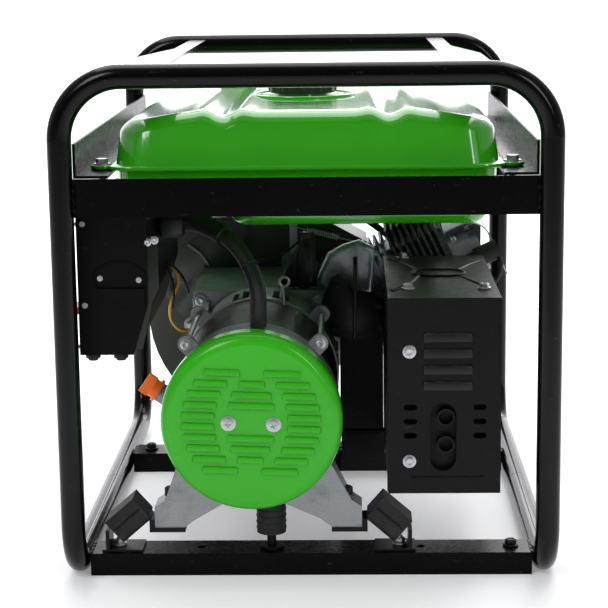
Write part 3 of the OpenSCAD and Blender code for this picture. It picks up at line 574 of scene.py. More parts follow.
class Bench:
    """Modelling steps done by hand on one piece at a time."""

    @staticmethod
    def clear() -> None:
        """Leaves edit mode and selects nothing."""
        if bpy.context.object and bpy.context.object.mode != "OBJECT":
            bpy.ops.object.mode_set(mode="OBJECT")
        bpy.ops.object.select_all(action="DESELECT")

    @staticmethod
    def take(piece: bpy.types.Object) -> None:
        """Selects one piece and makes it active."""
        Bench.clear()
        piece.select_set(True)
        bpy.context.view_layer.objects.active = piece

    @staticmethod
    def settle(piece: bpy.types.Object) -> None:
        """Moves a piece's place, turn and scale into its mesh."""
        Bench.take(piece)
        bpy.ops.object.transform_apply(location=True, rotation=True, scale=True)

    @staticmethod
    def block(name: str, size: Point, at: Point, turn: Point = (0, 0, 0)) -> bpy.types.Object:
        """Adds a block.

        Args:
            name: The piece's name.
            size: Its sides in millimetres.
            at: Its centre in millimetres.
            turn: Its turns about X, Y and Z in degrees.

        Returns:
            The block, with its place in its mesh.
        """
        Bench.clear()
        rotation = [math.radians(a) for a in turn]
        bpy.ops.mesh.primitive_cube_add(size=1, location=mm(*at), rotation=rotation)
        piece = bpy.context.object
        piece.name = name
        piece.scale = mm(*size)
        Bench.settle(piece)
        return piece

    @staticmethod
    def rod(name: str, radius: float, start: Point, end: Point, sides: int = 32) -> bpy.types.Object:
        """Adds a round rod between two points.

        Args:
            name: The piece's name.
            radius: Its radius in millimetres.
            start: One end's centre in millimetres.
            end: The other end's centre in millimetres.
            sides: The number of its sides.

        Returns:
            The rod, with its place in its mesh.
        """
        Bench.clear()
        a, b = mm(*start), mm(*end)
        bpy.ops.mesh.primitive_cylinder_add(vertices=sides, radius=radius * MM, depth=(b - a).length)
        piece = bpy.context.object
        piece.name = name
        turn = (b - a).to_track_quat("Z", "Y").to_matrix().to_4x4()
        piece.matrix_world = Matrix.Translation((a + b) / 2) @ turn
        Bench.settle(piece)
        return piece

    @staticmethod
    def ring(
        name: str, at: Point, facing: Point, radii: tuple[float, float], steps: tuple[int, int]
    ) -> bpy.types.Object:
        """Adds a round ring.

        Args:
            name: The piece's name.
            at: Its centre in millimetres.
            facing: The direction of its axis.
            radii: The ring's radius and its wire's radius in millimetres.
            steps: The sides round the ring and round its wire.

        Returns:
            The ring, with its place in its mesh.
        """
        Bench.clear()
        bpy.ops.mesh.primitive_torus_add(
            major_radius=radii[0] * MM, minor_radius=radii[1] * MM,
            major_segments=steps[0], minor_segments=steps[1],
        )
        piece = bpy.context.object
        piece.name = name
        turn = Vector(facing).to_track_quat("Z", "Y").to_matrix().to_4x4()
        piece.matrix_world = Matrix.Translation(mm(*at)) @ turn
        Bench.settle(piece)
        Bench.smooth(piece, 60)
        return piece

    @staticmethod
    def edit(piece: bpy.types.Object, chosen: Callable[[bmesh.types.BMFace], bool]) -> None:
        """Goes into edit mode with some faces selected.

        Args:
            piece: The piece.
            chosen: Says whether a face is selected.
        """
        Bench.take(piece)
        bpy.ops.object.mode_set(mode="EDIT")
        bpy.ops.mesh.select_mode(type="FACE")
        bpy.ops.mesh.select_all(action="DESELECT")
        mesh = bmesh.from_edit_mesh(piece.data)
        for face in mesh.faces:
            face.select_set(bool(chosen(face)))
        bmesh.update_edit_mesh(piece.data)

    @staticmethod
    def step(piece: bpy.types.Object, facing: Point, inset: float, rise: float) -> None:
        """Insets the faces that point one way at its far end, then raises or sinks them.

        Args:
            piece: The piece.
            facing: The direction of the faces.
            inset: The inset in millimetres.
            rise: The rise in millimetres, below 0 to sink.
        """
        way = Vector(facing).normalized()
        far = max((v.co @ way for v in piece.data.vertices), default=0.0)
        Bench.edit(piece, lambda f: f.normal @ way > 0.9 and f.calc_center_median() @ way > far - 1e-5)
        if inset:
            bpy.ops.mesh.inset(thickness=inset * MM)
        move = way * rise * MM
        bpy.ops.mesh.extrude_region_move(TRANSFORM_OT_translate={"value": move})
        bpy.ops.object.mode_set(mode="OBJECT")

    @staticmethod
    def modify(piece: bpy.types.Object, kind: str, **settings: object) -> None:
        """Adds a modifier and applies it.

        Args:
            piece: The piece.
            kind: The modifier's type.
            settings: Its settings.
        """
        Bench.take(piece)
        modifier = piece.modifiers.new(kind.lower(), kind)
        for key, value in settings.items():
            setattr(modifier, key, value)
        bpy.ops.object.modifier_apply(modifier=modifier.name)

    @staticmethod
    def upright(edge: bmesh.types.BMEdge) -> bool:
        """Says whether an edge runs straight up."""
        way = edge.verts[1].co - edge.verts[0].co
        return abs(way.z) > 0.999 * way.length

    @staticmethod
    def edit_edges(piece: bpy.types.Object, chosen: Callable[[bmesh.types.BMEdge], bool]) -> None:
        """Goes into edit mode with some edges selected.

        Args:
            piece: The piece.
            chosen: Says whether an edge is selected.
        """
        Bench.take(piece)
        bpy.ops.object.mode_set(mode="EDIT")
        bpy.ops.mesh.select_mode(type="EDGE")
        bpy.ops.mesh.select_all(action="DESELECT")
        mesh = bmesh.from_edit_mesh(piece.data)
        for edge in mesh.edges:
            edge.select_set(bool(chosen(edge)))
        bmesh.update_edit_mesh(piece.data)

    @staticmethod
    def bevel_edges(
        piece: bpy.types.Object, chosen: Callable[[bmesh.types.BMEdge], bool], width: float, segments: int
    ) -> None:
        """Rounds the chosen edges.

        Args:
            piece: The piece.
            chosen: Says whether an edge is rounded.
            width: The radius in millimetres.
            segments: The steps of the rounding.
        """
        Bench.edit_edges(piece, chosen)
        bpy.ops.mesh.bevel(offset=width * MM, segments=segments)
        bpy.ops.object.mode_set(mode="OBJECT")

    @staticmethod
    def slice(piece: bpy.types.Object, facing: Point, places: Iterable[Number]) -> None:
        """Cuts rings of edges across a piece without parting it.

        Args:
            piece: The piece.
            facing: The direction square to the cuts.
            places: How far along it each cut is, in millimetres.
        """
        Bench.take(piece)
        bpy.ops.object.mode_set(mode="EDIT")
        for place in places:
            bpy.ops.mesh.select_all(action="SELECT")
            bpy.ops.mesh.bisect(plane_co=Vector(facing) * place * MM, plane_no=facing)
        bpy.ops.object.mode_set(mode="OBJECT")

    @staticmethod
    def round_off(piece: bpy.types.Object, width: float, segments: int = 2, angle: float = 35) -> None:
        """Rounds the sharp edges, in millimetres, and shades the rest smooth."""
        Bench.modify(piece, "BEVEL", width=width * MM, segments=segments,
                     limit_method="ANGLE", angle_limit=math.radians(angle))
        Bench.smooth(piece)

    @staticmethod
    def smooth(piece: bpy.types.Object, angle: float = 40) -> None:
        """Shades a piece smooth up to an angle in degrees."""
        Bench.take(piece)
        bpy.ops.object.shade_smooth_by_angle(angle=math.radians(angle))

    @staticmethod
    def cut(piece: bpy.types.Object, tools: Iterable[bpy.types.Object]) -> None:
        """Takes the tools' shapes out of a piece and throws the tools away."""
        for tool in list(tools):
            Bench.modify(piece, "BOOLEAN", operation="DIFFERENCE", object=tool, solver="EXACT")
            bpy.data.objects.remove(tool)

    @staticmethod
    def copy(piece: bpy.types.Object, name: str, matrix: Matrix) -> bpy.types.Object:
        """Copies a piece with its own mesh and moves the copy's mesh.

        Args:
            piece: The piece copied.
            name: The copy's name.
            matrix: Where it goes.

        Returns:
            The copy.
        """
        made = piece.copy()
        made.data = piece.data.copy()
        made.name = name
        bpy.context.scene.collection.objects.link(made)
        made.data.transform(matrix)
        return made

    @staticmethod
    def join(name: str, parts: Sequence[bpy.types.Object]) -> bpy.types.Object:
        """Joins parts as one piece.

        Args:
            name: The piece's name.
            parts: The parts.

        Returns:
            The piece.
        """
        Bench.take(parts[0])
        for part in parts:
            part.select_set(True)
        if len(parts) > 1:
            bpy.ops.object.join()
        piece = bpy.context.object
        piece.name = name
        piece.data.name = name
        return piece

    @staticmethod
    def outline(name: str, corners: Sequence[Point], thick: float) -> bpy.types.Object:
        """Makes a flat plate from its corners.

        Args:
            name: The piece's name.
            corners: The corners in order, in millimetres, in one plane.
            thick: The plate's thickness in millimetres, to both sides evenly.

        Returns:
            The plate.
        """
        Bench.clear()
        bpy.ops.mesh.primitive_circle_add(vertices=len(corners), fill_type="NGON")
        piece = bpy.context.object
        piece.name = name
        for vertex, corner in zip(piece.data.vertices, corners):
            vertex.co = mm(*corner)
        Bench.modify(piece, "SOLIDIFY", thickness=thick * MM, offset=0.0)
        return piece

    @staticmethod
    def strip(name: str, path: Sequence[Point], across: Point, thick: float) -> bpy.types.Object:
        """Bends a flat strip along a path.

        Args:
            name: The piece's name.
            path: The strip's middle line in millimetres.
            across: The strip's width as a vector in millimetres.
            thick: Its thickness in millimetres.

        Returns:
            The strip.
        """
        Bench.clear()
        bpy.ops.mesh.primitive_plane_add(size=1)
        piece = bpy.context.object
        piece.name = name
        half = mm(*across) / 2
        first, second = mm(*path[0]), mm(*path[1])
        corners = (first - half, second - half, first + half, second + half)
        for vertex, corner in zip(piece.data.vertices, corners):
            vertex.co = corner
        last = second
        for point in path[2:]:
            Bench.edit_edges(piece, lambda e: ((e.verts[0].co + e.verts[1].co) / 2 - last).length < 1e-6)
            move = mm(*point) - last
            bpy.ops.mesh.extrude_region_move(TRANSFORM_OT_translate={"value": move})
            bpy.ops.object.mode_set(mode="OBJECT")
            last = mm(*point)
        Bench.modify(piece, "SOLIDIFY", thickness=thick * MM, offset=0.0)
        return piece

    @staticmethod
    def hose(name: str, route: Sequence[Point], radius: float, sides: int = 12) -> bpy.types.Object:
        """Makes a hose or lead along a smooth route.

        Args:
            name: The piece's name.
            route: Points of its middle line in millimetres.
            radius: Its radius in millimetres.
            sides: The number of its sides.

        Returns:
            The hose as a mesh.
        """
        Bench.clear()
        curve = bpy.data.curves.new(name, "CURVE")
        curve.dimensions = "3D"
        curve.bevel_depth = radius * MM
        curve.bevel_resolution = max(1, sides // 4 - 1)
        curve.use_fill_caps = True
        curve.resolution_u = 6
        spline = curve.splines.new("BEZIER")
        spline.bezier_points.add(len(route) - 1)
        for point, place in zip(spline.bezier_points, route):
            point.co = mm(*place)
            point.handle_left_type = point.handle_right_type = "AUTO"
        piece = bpy.data.objects.new(name, curve)
        bpy.context.scene.collection.objects.link(piece)
        Bench.take(piece)
        bpy.ops.object.convert(target="MESH")
        piece = bpy.context.object
        Bench.smooth(piece, 60)
        return piece


def fit(
    piece: bpy.types.Object, finish: Shop, body: str = "root"
) -> bpy.types.Object:
    """Finishes a new piece and sets it on its body.

    Args:
        piece: The piece.
        finish: Its finish.
        body: The body that carries it.

    Returns:
        The piece.
    """
    finish.put_on(piece)
    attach(piece, body)
    LOG.info("%s: %d faces on %s", piece.name, len(piece.data.polygons), body)
    return piece


def louvre_hood(size: Point, at: Point, round_by: float, tilt: float) -> bpy.types.Object:
    """Presses one louvre hood, rounded above and in front and open below.

    Args:
        size: Its length, depth and height in millimetres.
        at: Its centre in millimetres.
        round_by: The rounding in millimetres.
        tilt: Its turn about Y in degrees.

    Returns:
        The hood.
    """
    hood = Bench.block("hood", size, at)
    low, back = (at[2] - size[2] / 2) * MM + 1e-5, (at[1] + size[1] / 2) * MM - 1e-5

    def rounded(edge: bmesh.types.BMEdge) -> bool:
        """Says whether an edge is off the hood's back and its mouth."""
        ends = edge.verts
        return max(v.co.z for v in ends) > low and min(v.co.y for v in ends) < back

    Bench.bevel_edges(hood, rounded, round_by, 3)
    Bench.step(hood, (0, 0, -1), 0.7, -1.2)
    centre = Matrix.Translation(mm(*at))
    hood.data.transform(centre @ Matrix.Rotation(math.radians(tilt), 4, "Y") @ centre.inverted())
    Bench.smooth(hood, 50)
    return hood


class Head(Enum):
    """The kinds of fastener head."""

    FLANGE = "flange bolt"
    HEX = "hex bolt"
    NUT = "nut on a stud"
    PAN = "cross-head screw"


@dataclass
class Fasteners:
    """A group of like fasteners that is modelled once and set where it is needed."""

    name: str
    head: Head
    radius: float
    height: float
    stud: float = 0.0
    spots: list[tuple[Point, Point]] = field(default_factory=list)

    def add(self, facing: Point, *places: Point) -> "Fasteners":
        """Adds places, in millimetres, whose heads all face one way."""
        self.spots += [(place, facing) for place in places]
        return self

    def pattern(self) -> bpy.types.Object:
        """Models one fastener standing on the XY plane at the origin."""
        r, h = self.radius, self.height
        if self.head is Head.PAN:
            screw = Bench.rod("pattern", r, (0, 0, 0), (0, 0, h * 0.55), 24)
            Bench.step(screw, (0, 0, 1), r * 0.14, h * 0.27)
            Bench.step(screw, (0, 0, 1), r * 0.22, h * 0.18)
            bar = (r * 1.15, r * 0.24, h)
            Bench.cut(screw, [Bench.block("slot", bar, (0, 0, h * 0.95), (0, 0, a)) for a in (0, 90)])
            Bench.smooth(screw, 30)
            return screw
        flanged = self.head is Head.FLANGE
        base = h * (0.28 if flanged else 0.2)
        washer = Bench.rod("washer", r * (1.35 if flanged else 1.5), (0, 0, 0), (0, 0, base), 28)
        Bench.round_off(washer, base * 0.3)
        parts = [washer]
        hexagon = Bench.rod("hexagon", r, (0, 0, base), (0, 0, h * 0.9), 6)
        Bench.step(hexagon, (0, 0, 1), r * 0.1, h * 0.1)
        if self.head is not Head.NUT:
            Bench.step(hexagon, (0, 0, 1), r * 0.25, -h * 0.08)
        Bench.round_off(hexagon, r * 0.05)
        parts.append(hexagon)
        if self.stud:
            thread = Bench.rod("thread", r * 0.52, (0, 0, base), (0, 0, h + self.stud), 20)
            Bench.step(thread, (0, 0, 1), r * 0.12, r * 0.12)
            Bench.smooth(thread, 30)
            parts.append(thread)
        return Bench.join("pattern", parts)

    def build(self) -> bpy.types.Object:
        """Sets a copy at every place and joins the group."""
        pattern = self.pattern()
        copies = []
        for index, (place, facing) in enumerate(self.spots):
            turn = Vector(facing).to_track_quat("Z", "Y").to_matrix().to_4x4()
            spin = Matrix.Rotation(math.radians(23 * index), 4, "Z")
            matrix = Matrix.Translation(mm(*place)) @ turn @ spin
            copies.append(Bench.copy(pattern, f"{self.name}_{index}", matrix))
        bpy.data.objects.remove(pattern)
        return Bench.join(self.name, copies)

    def drive(self, finish: Shop = Shop.ZINC) -> None:
        """Builds the group and fits it to the machine in one finish."""
        fit(self.build(), finish)


# ---------------------------------------------------------------- sub-assemblies


@dataclass
class Assembly:
    """A sub-assembly: its CAD nodes' finishes and the pieces that it adds."""

    def dressed(self) -> dict[str, Shop]:
        """Names the finish of each CAD node."""
        return {}

    def dress(self) -> None:
        """Puts the finishes on the CAD nodes."""
        for node, finish in self.dressed().items():
            finish.put_on(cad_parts[node])
            LOG.info("%s: %s", node, finish.value.name)

    def build(self) -> None:
        """Adds the sub-assembly's own pieces."""


@dataclass
class TubeFrame(Assembly):
    """The two hoops, channels, plates, straps and rails."""

    leg_x: float = 252.3
    hoop_y: float = 332.3
    tube_r: float = 12.7
    hole_x: float = 218.0
    channel_top: float = 25.0
    channel_y: tuple[float, float] = (-281.0, 118.0)
    plate_z: tuple[float, float] = (398.0, 438.0)

    def dressed(self) -> dict[str, Shop]:
        """Gloss black all over."""
        names = ("front_hoop", "rear_hoop", "top_straps")
        plain = ("rail_sleeves", "cross_channels", "tank_support_rails")
        return {**{n: Shop.FRAME for n in names}, **{n: Shop.CHANNEL for n in plain}}

    def bead(self, start: Point, end: Point) -> bpy.types.Object:
        """Lays a weld bead between two points."""
        length = (Vector(end) - Vector(start)).length
        count = max(3, int(length / 4))
        route = []
        for i in range(count + 1):
            share = i / count
            wave = 0.5 * math.sin(i * 2.4)
            route.append(tuple(a + (b - a) * share + wave for a, b in zip(start, end)))
        return Bench.hose("bead", route, 2.0, 8)

    def build(self) -> None:
        """Adds the channel bolts and the welds of plates and channels."""
        bolts = Fasteners("channel_bolts", Head.FLANGE, 6.4, 8.0)
        for y in self.channel_y:
            bolts.add((0, 0, 1), *[(x, y, self.channel_top) for x in (-self.hole_x, self.hole_x)])
        bolts.drive(Shop.DARK_BOLT)
        beads = []
        low, high = self.plate_z
        for side in (-1, 1):
            x = side * (self.leg_x - self.tube_r - 0.6)
            for y in (-self.hoop_y, self.hoop_y):
                beads.append(self.bead((x, y + 2.4, low + 2), (x, y + 2.4, high - 2)))
                beads.append(self.bead((x, y - 2.4, low + 2), (x, y - 2.4, high - 2)))
            for y in self.channel_y:
                beads.append(self.bead((x, y - 20, 24.0), (x, y + 20, 24.0)))
        fit(Bench.join("weld_beads", beads), Shop.CHANNEL)


@dataclass
class FuelTank(Assembly):
    """The tank, its cap, gauge, bolts and fuel tap."""

    half_width: float = 203.6
    half_length: float = 294.6
    rim_z: float = 444.0
    roof_z: float = 503.6
    corner: float = 36.0
    shoulder: float = 17.0
    groove_x: float = 91.0
    cap: tuple[float, float] = (-9.0, -60.0)
    gauge: tuple[float, float] = (-96.0, 128.0)
    ear: tuple[float, float] = (217.0, 272.0)

    def dressed(self) -> dict[str, Shop]:
        """Enamelled tank with plated fittings."""
        return {
            "fuel_tank": Shop.TANK,
            "tank_bolts": Shop.ZINC,
            "fuel_cap": Shop.CAP,
            "fuel_cap_plug": Shop.SOFT_PLASTIC,
            "fuel_gauge": Shop.SOFT_PLASTIC,
            "fuel_valve": Shop.BRASS,
            "fuel_valve_lever": Shop.SOFT_PLASTIC,
        }

    def relief(self, x: float) -> float:
        """Gives the pressed height of the roof at a place across it.

        Args:
            x: The place in millimetres from the middle.

        Returns:
            The height in millimetres, 0 at the ridges and below 0 elsewhere.
        """
        a = abs(x)

        def swell(centre: float, width: float) -> float:
            """A smooth swell, 1 at its centre."""
            return math.exp(-(((a - centre) / width) ** 2))

        ridges = swell(self.groove_x - 22, 10) + swell(self.groove_x + 19, 11)
        fall = min(1.0, max(0.0, (a - 118) / 78))
        side = 8.5 * fall * fall * (3 - 2 * fall)
        return 2.4 * min(1.0, ridges) - 2.4 - 5.0 * swell(self.groove_x, 12) - side

    def dome(self) -> bpy.types.Object:
        """Presses the upper shell: drafted sides, rounded corners and two grooves along the roof."""
        height = self.roof_z - self.rim_z
        at = (0, 0, self.rim_z + height / 2)
        dome = Bench.block("tank_upper_shell", (2 * self.half_width, 2 * self.half_length, height), at)
        Bench.bevel_edges(dome, Bench.upright, self.corner, 8)
        top = self.roof_z * MM - 1e-5
        Bench.bevel_edges(dome, lambda e: min(v.co.z for v in e.verts) > top, self.shoulder, 7)
        Bench.slice(dome, (1, 0, 0), range(-196, 197, 4))
        Bench.slice(dome, (0, 1, 0), [*range(-270, 271, 45), *range(83, 174, 15)])
        for vertex in dome.data.vertices:
            rise = (vertex.co.z / MM - self.rim_z) / height
            hold = min(1.0, max(0.0, (rise - 0.35) / 0.6))
            away = math.dist((vertex.co.x / MM, vertex.co.y / MM), self.gauge)
            level = min(1.0, max(0.0, (away - 26) / 30))
            vertex.co.z += self.relief(vertex.co.x / MM) * level * hold * hold * (3 - 2 * hold) * MM
            vertex.co.x *= 1 - 0.032 * rise
            vertex.co.y *= 1 - 0.034 * rise
        Bench.smooth(dome, 50)
        return dome

    def tub(self, size: Point, at: Point, corner: float, edge: float) -> bpy.types.Object:
        """Presses a lower tub with rounded corners and a rounded floor edge.

        Args:
            size: Its sides in millimetres.
            at: Its centre in millimetres.
            corner: The corners' radius in millimetres.
            edge: The floor edge's radius in millimetres.

        Returns:
            The tub.
        """
        tub = Bench.block("tub", size, at)
        Bench.bevel_edges(tub, Bench.upright, corner, 7)
        floor = (at[2] - size[2] / 2) * MM + 1e-5
        Bench.bevel_edges(tub, lambda e: max(v.co.z for v in e.verts) < floor, edge, 5)
        Bench.smooth(tub, 50)
        return tub

    def build(self) -> None:
        """Adds the pressed tank, the cap's dish, neck and vent, and the gauge's pad, dial and needle."""
        rim = Bench.block("rim", (421, 603, 4.2), (0, 0, self.rim_z - 0.1))
        Bench.bevel_edges(rim, Bench.upright, 30, 8)
        ears = [
            Bench.rod("ear", 12, (x, y, self.rim_z - 2.2), (x, y, self.rim_z + 2))
            for x in (-self.ear[0], self.ear[0]) for y in (-self.ear[1], self.ear[1])
        ]
        flange = Bench.join("flange", [rim, *ears])
        Bench.round_off(flange, 1.1)
        lower = self.tub((400, 582, 39), (0, 0, 424), 22, 13)
        sump = self.tub((286, 400, 40), (55, 10, 386.4), 26, 12)
        dish = Bench.rod("dish", 61, (*self.cap, 498.5), (*self.cap, 504.0), 64)
        Bench.step(dish, (0, 0, 1), 4.5, -2.2)
        Bench.round_off(dish, 1.2, 3)
        neck = Bench.rod("neck", 30, (*self.cap, 499), (*self.cap, 504.5), 48)
        Bench.step(neck, (0, 0, 1), 2.0, 1.4)
        Bench.smooth(neck)
        pad = Bench.rod("pad", 27, (*self.gauge, 490), (*self.gauge, 504.1), 48)
        Bench.round_off(pad, 2.0, 3)
        parts = [self.dome(), flange, lower, sump, dish, neck, pad]
        tank = fit(Bench.join("tank_shell", parts), Shop.TANK)
        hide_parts("fuel_tank")
        x, y = self.gauge
        dial = Bench.rod("gauge_dial", 18.6, (x, y, 508.6), (x, y, 509.6), 40)
        fit(dial, Shop.WHITE)
        needle = Bench.block("needle", (2.0, 14, 0.8), (x, y + 3, 510.1), (0, 0, 32))
        hub = Bench.rod("hub", 3.0, (x, y, 509.5), (x, y, 511), 20)
        marks = []
        for a in (-1.2, -0.6, 0.0, 0.6, 1.2):
            at = (x + 14 * math.sin(a), y + 14 * math.cos(a), 509.7)
            marks.append(Bench.block("mark", (1.2, 4, 0.5), at, (0, 0, -math.degrees(a))))
        fit(Bench.join("gauge_needle", [needle, hub, *marks]), Shop.RED)
        cx, cy = self.cap
        vent = Bench.rod("fuel_cap_vent", 9, (cx, cy, 521.8), (cx, cy, 522.4), 32)
        Bench.step(vent, (0, 0, 1), 2, -0.3)
        fit(vent, Shop.SOFT_PLASTIC, "cap_turn")


@dataclass
class Engine(Assembly):
    """The engine with its cooling, induction and starter."""

    axis_x: float = -61.0
    axis_z: float = 175.5
    tilt: float = 25.0
    cylinder_y: float = 66.0
    cover_y: float = -20.0
    rim_shift: float = 6.0
    side_x: float = -146.0

    def dressed(self) -> dict[str, Shop]:
        """Castings, green covers and plated fittings."""
        return {
            "crankcase": Shop.CASTING,
            "crankcase_cover": Shop.CASTING,
            "cylinder_block": Shop.CYLINDER,
            "cylinder_head": Shop.BLACK_CASTING,
            "valve_cover": Shop.CASTING,
            "head_shroud": Shop.SILVER,
            "spark_plug": Shop.ZINC,
            "plug_boot": Shop.RUBBER,
            "fan_housing": Shop.PLATE,
            "recoil_housing": Shop.COVER,
            "recoil_pulley": Shop.PLASTIC,
            "recoil_rope": Shop.ROPE,
            "recoil_handle": Shop.PLASTIC,
            "flywheel": Shop.IRON,
            "crankshaft": Shop.MACHINED,
            "camshaft": Shop.MACHINED,
            "oil_filler_cap": Shop.ORANGE,
            "carburetor": Shop.CASTING,
            "choke_lever": Shop.PLASTIC,
            "air_cleaner_base": Shop.PLASTIC,
            "air_filter_element": Shop.FOAM,
            "air_cleaner_cover": Shop.PLASTIC,
            "governor_arm": Shop.ZINC,
            "fuel_hose": Shop.RUBBER,
        }

    def along(self, distance: float, across: float = 0.0, y: float = 0.0) -> Point:
        """Gives a place from its distance along the cylinder, its drop across it and its y."""
        a = math.radians(self.tilt)
        x = self.axis_x + distance * math.cos(a) + across * math.sin(a)
        z = self.axis_z + distance * math.sin(a) - across * math.cos(a)
        return (x, self.cylinder_y + y, z)

    def outward(self) -> Point:
        """Gives the cylinder's direction."""
        return (math.cos(math.radians(self.tilt)), 0.0, math.sin(math.radians(self.tilt)))

    def brackets(self) -> None:
        """Adds the web on the crankcase, the petal plate by the silencer and the tab on the fan housing."""
        corners = [(-43, -4, 263), (-12, -4, 330), (2, -4, 330), (5, -4, 263)]
        web = Bench.outline("tank_stay_web", corners, 2.5)
        stiff = Bench.strip("stay_flange", [(-24, -6, 263), (-22, -6, 300), (-10, -6, 331)], (0, 13, 0), 2.5)
        post = Bench.strip("stay_post", [(-12, -12, 263), (-10, -12, 332)], (13, 0, 0), 2.5)
        Bench.cut(post, [Bench.rod("hole", 4.2, (-9, -30, 319), (-9, 10, 319))])
        for part in (web, stiff, post):
            Bench.round_off(part, 0.5)
        fit(Bench.join("tank_stay", [web, stiff, post]), Shop.OLIVE)
        corners = [(10, 216), (8, 240), (14, 266), (22, 283), (30, 288), (39, 281), (50, 268),
                   (66, 266), (79, 254), (86, 236), (82, 214), (46, 206)]
        petal = Bench.outline("petal_plate", [(x, -52, z) for x, z in corners], 2.0)
        Bench.step(petal, (0, -1, 0), 3.5, 1.6)
        path = [(49, -54, 208), (50, -60, 214), (51, -60, 300), (51, -53, 308)]
        ridge = Bench.strip("petal_ridge", path, (5, 0, 0), 2.2)
        for part in (petal, ridge):
            Bench.round_off(part, 0.7)
        fit(Bench.join("silencer_stay", [petal, ridge]), Shop.OLIVE)
        bolts = Fasteners("silencer_stay_bolts", Head.FLANGE, 4.2, 6.0, 2.0)
        bolts.add((0, -1, 0), (27, -54.6, 274), (25, -54.6, 222), (79, -54.6, 250), (80, -54.6, 224))
        bolts.drive(Shop.DARK_BOLT)
        corners = [(-115, 150, 284), (-110, 150, 314), (-96, 150, 314), (-90, 150, 284)]
        tab = Bench.outline("fan_housing_tab", corners, 2.5)
        Bench.cut(tab, [Bench.rod("hole", 3.4, (-103, 140, 306), (-103, 160, 306))])
        Bench.round_off(tab, 0.5)
        fit(tab, Shop.OLIVE)

    def fan_plate(self) -> None:
        """Adds the plate on the fan housing's front with its slot, hole and fold."""
        corners = [(-205, 226), (-203, 258), (-188, 284), (-164, 300), (-134, 322), (-100, 328), (-88, 300),
                   (-112, 262), (-140, 240), (-150, 212), (-166, 190), (-184, 198)]
        rim = self.rim_shift
        plate = Bench.outline("fan_front_plate", [(x + rim, 149.6, z) for x, z in corners], 2.0)
        slot = Bench.block("slot", (5, 14, 50), (-180 + rim, 150, 226), (0, 39, 0))
        hole = Bench.rod("hole", 4.5, (-190 + rim, 140, 239), (-190 + rim, 160, 239))
        Bench.cut(plate, [slot, hole])
        Bench.step(plate, (0, -1, 0), 2.5, 1.0)
        fold = Bench.strip("fold", [(-166, 148, 293), (-150, 146, 281), (-126, 146, 246)], (3, -1, 3), 2.2)
        for part in (plate, fold):
            Bench.round_off(part, 0.5)
        fit(Bench.join("fan_front_plate", [plate, fold]), Shop.PLATE)

    def shroud(self) -> None:
        """Presses the bright air guide that covers the cylinder's front."""
        corners = [(4, 268), (7, 281), (18, 304), (36, 314), (56, 320), (75, 310), (74, 284), (71, 256),
                   (30, 252)]
        guide = Bench.outline("cylinder_air_guide", [(x, -1, z) for x, z in corners], 16)
        front = -9 * MM + 1e-5
        Bench.bevel_edges(guide, lambda e: max(v.co.y for v in e.verts) < front, 7.5, 6)
        crease = Bench.strip("crease", [(52, -9.4, 318), (53, -9.6, 290), (52, -9.4, 258)], (3.5, 0, 0), 1.6)
        Bench.round_off(crease, 0.6)
        Bench.smooth(guide, 50)
        fit(Bench.join("cylinder_air_guide", [guide, crease]), Shop.SILVER)

    def linkage(self) -> None:
        """Adds the governor spring, its rod, the ignition stay rod and the vertical stud with its eye."""
        turns, start, end = 15, Vector((-28, 128, 318)), Vector((96, 128, 286))
        way = (end - start).normalized()
        side = way.cross(Vector((0, 1, 0))).normalized()
        over = way.cross(side)
        coil = []
        for i in range(turns * 8 + 1):
            a = i * math.pi / 4
            round_wire = 3.2 * (math.cos(a) * side + math.sin(a) * over)
            coil.append(tuple(start + way * (18 + 42 * i / (turns * 8)) + round_wire))
        spring = Bench.hose("coil", coil, 0.55, 8)
        ends = [Bench.rod("end", 0.7, tuple(start), tuple(start + way * 18), 10),
                Bench.rod("end", 0.7, tuple(start + way * 60), tuple(end), 10)]
        fit(Bench.join("governor_spring", [spring, *ends]), Shop.ZINC)
        route = [(-60, -10, 296), (-54, -12, 296), (-22, -10, 316), (-8, -6, 327), (0, 0, 330)]
        rod = Bench.hose("choke_rod", route, 1.3, 8)
        clip = Bench.rod("clip", 3.4, (-66, -10, 296), (-57, -10, 296), 16)
        Bench.round_off(clip, 0.5)
        fit(Bench.join("stay_rod", [rod, clip]), Shop.DARK_BOLT)
        stud = Bench.rod("stud", 2.4, (-33, -101, 259), (-34, -101, 281), 20)
        Bench.step(stud, (0, 0, -1), 0.6, 0.6)
        eye = Bench.ring("eye", (-32, -101, 287), (0, -1, 0), (5.6, 1.7), (32, 10))
        fit(Bench.join("lifting_stud", [stud, eye]), Shop.ZINC)

    def fasteners(self) -> None:
        """Adds the engine's bolts, screws and nuts."""
        case = Fasteners("crankcase_cover_bolts", Head.FLANGE, 5.2, 7.0)
        spots = ((-138, 250), (-138, 176), (-138, 100), (-98, 78), (-24, 78), (6, 100), (6, 176), (6, 250))
        case.add((0, -1, 0), *[(x, self.cover_y, z) for x, z in spots])
        case.drive()
        head = Fasteners("valve_cover_bolts", Head.FLANGE, 4.6, 6.5)
        head.add(self.outward(), *[self.along(267.2, c, y) for c in (-30, 30) for y in (-43, 43)])
        head.drive()
        drain = Fasteners("oil_drain_bolts", Head.HEX, 7.0, 8.5)
        drain.add((-1, 0, 0), *[(self.side_x, y, 82) for y in (30, 110)])
        drain.drive()
        starter = Fasteners("recoil_bolts", Head.FLANGE, 5.0, 6.5)
        for a in (0.6, 2.2, 3.8, 5.4):
            starter.add((0, 1, 0), (self.axis_x + 86 * math.cos(a), 292, self.axis_z + 86 * math.sin(a)))
        starter.drive()
        bowl = Fasteners("carburetor_screws", Head.PAN, 3.4, 3.4)
        bowl.add((0, -1, 0), *[(x, 125, z) for z in (286, 262) for x in (132, 168)])
        bowl.drive()
        nut = Fasteners("fan_plate_nut", Head.NUT, 6.0, 7.0, 3.0).add((0, -1, 0), (-150, -10, 219))
        nut.drive()

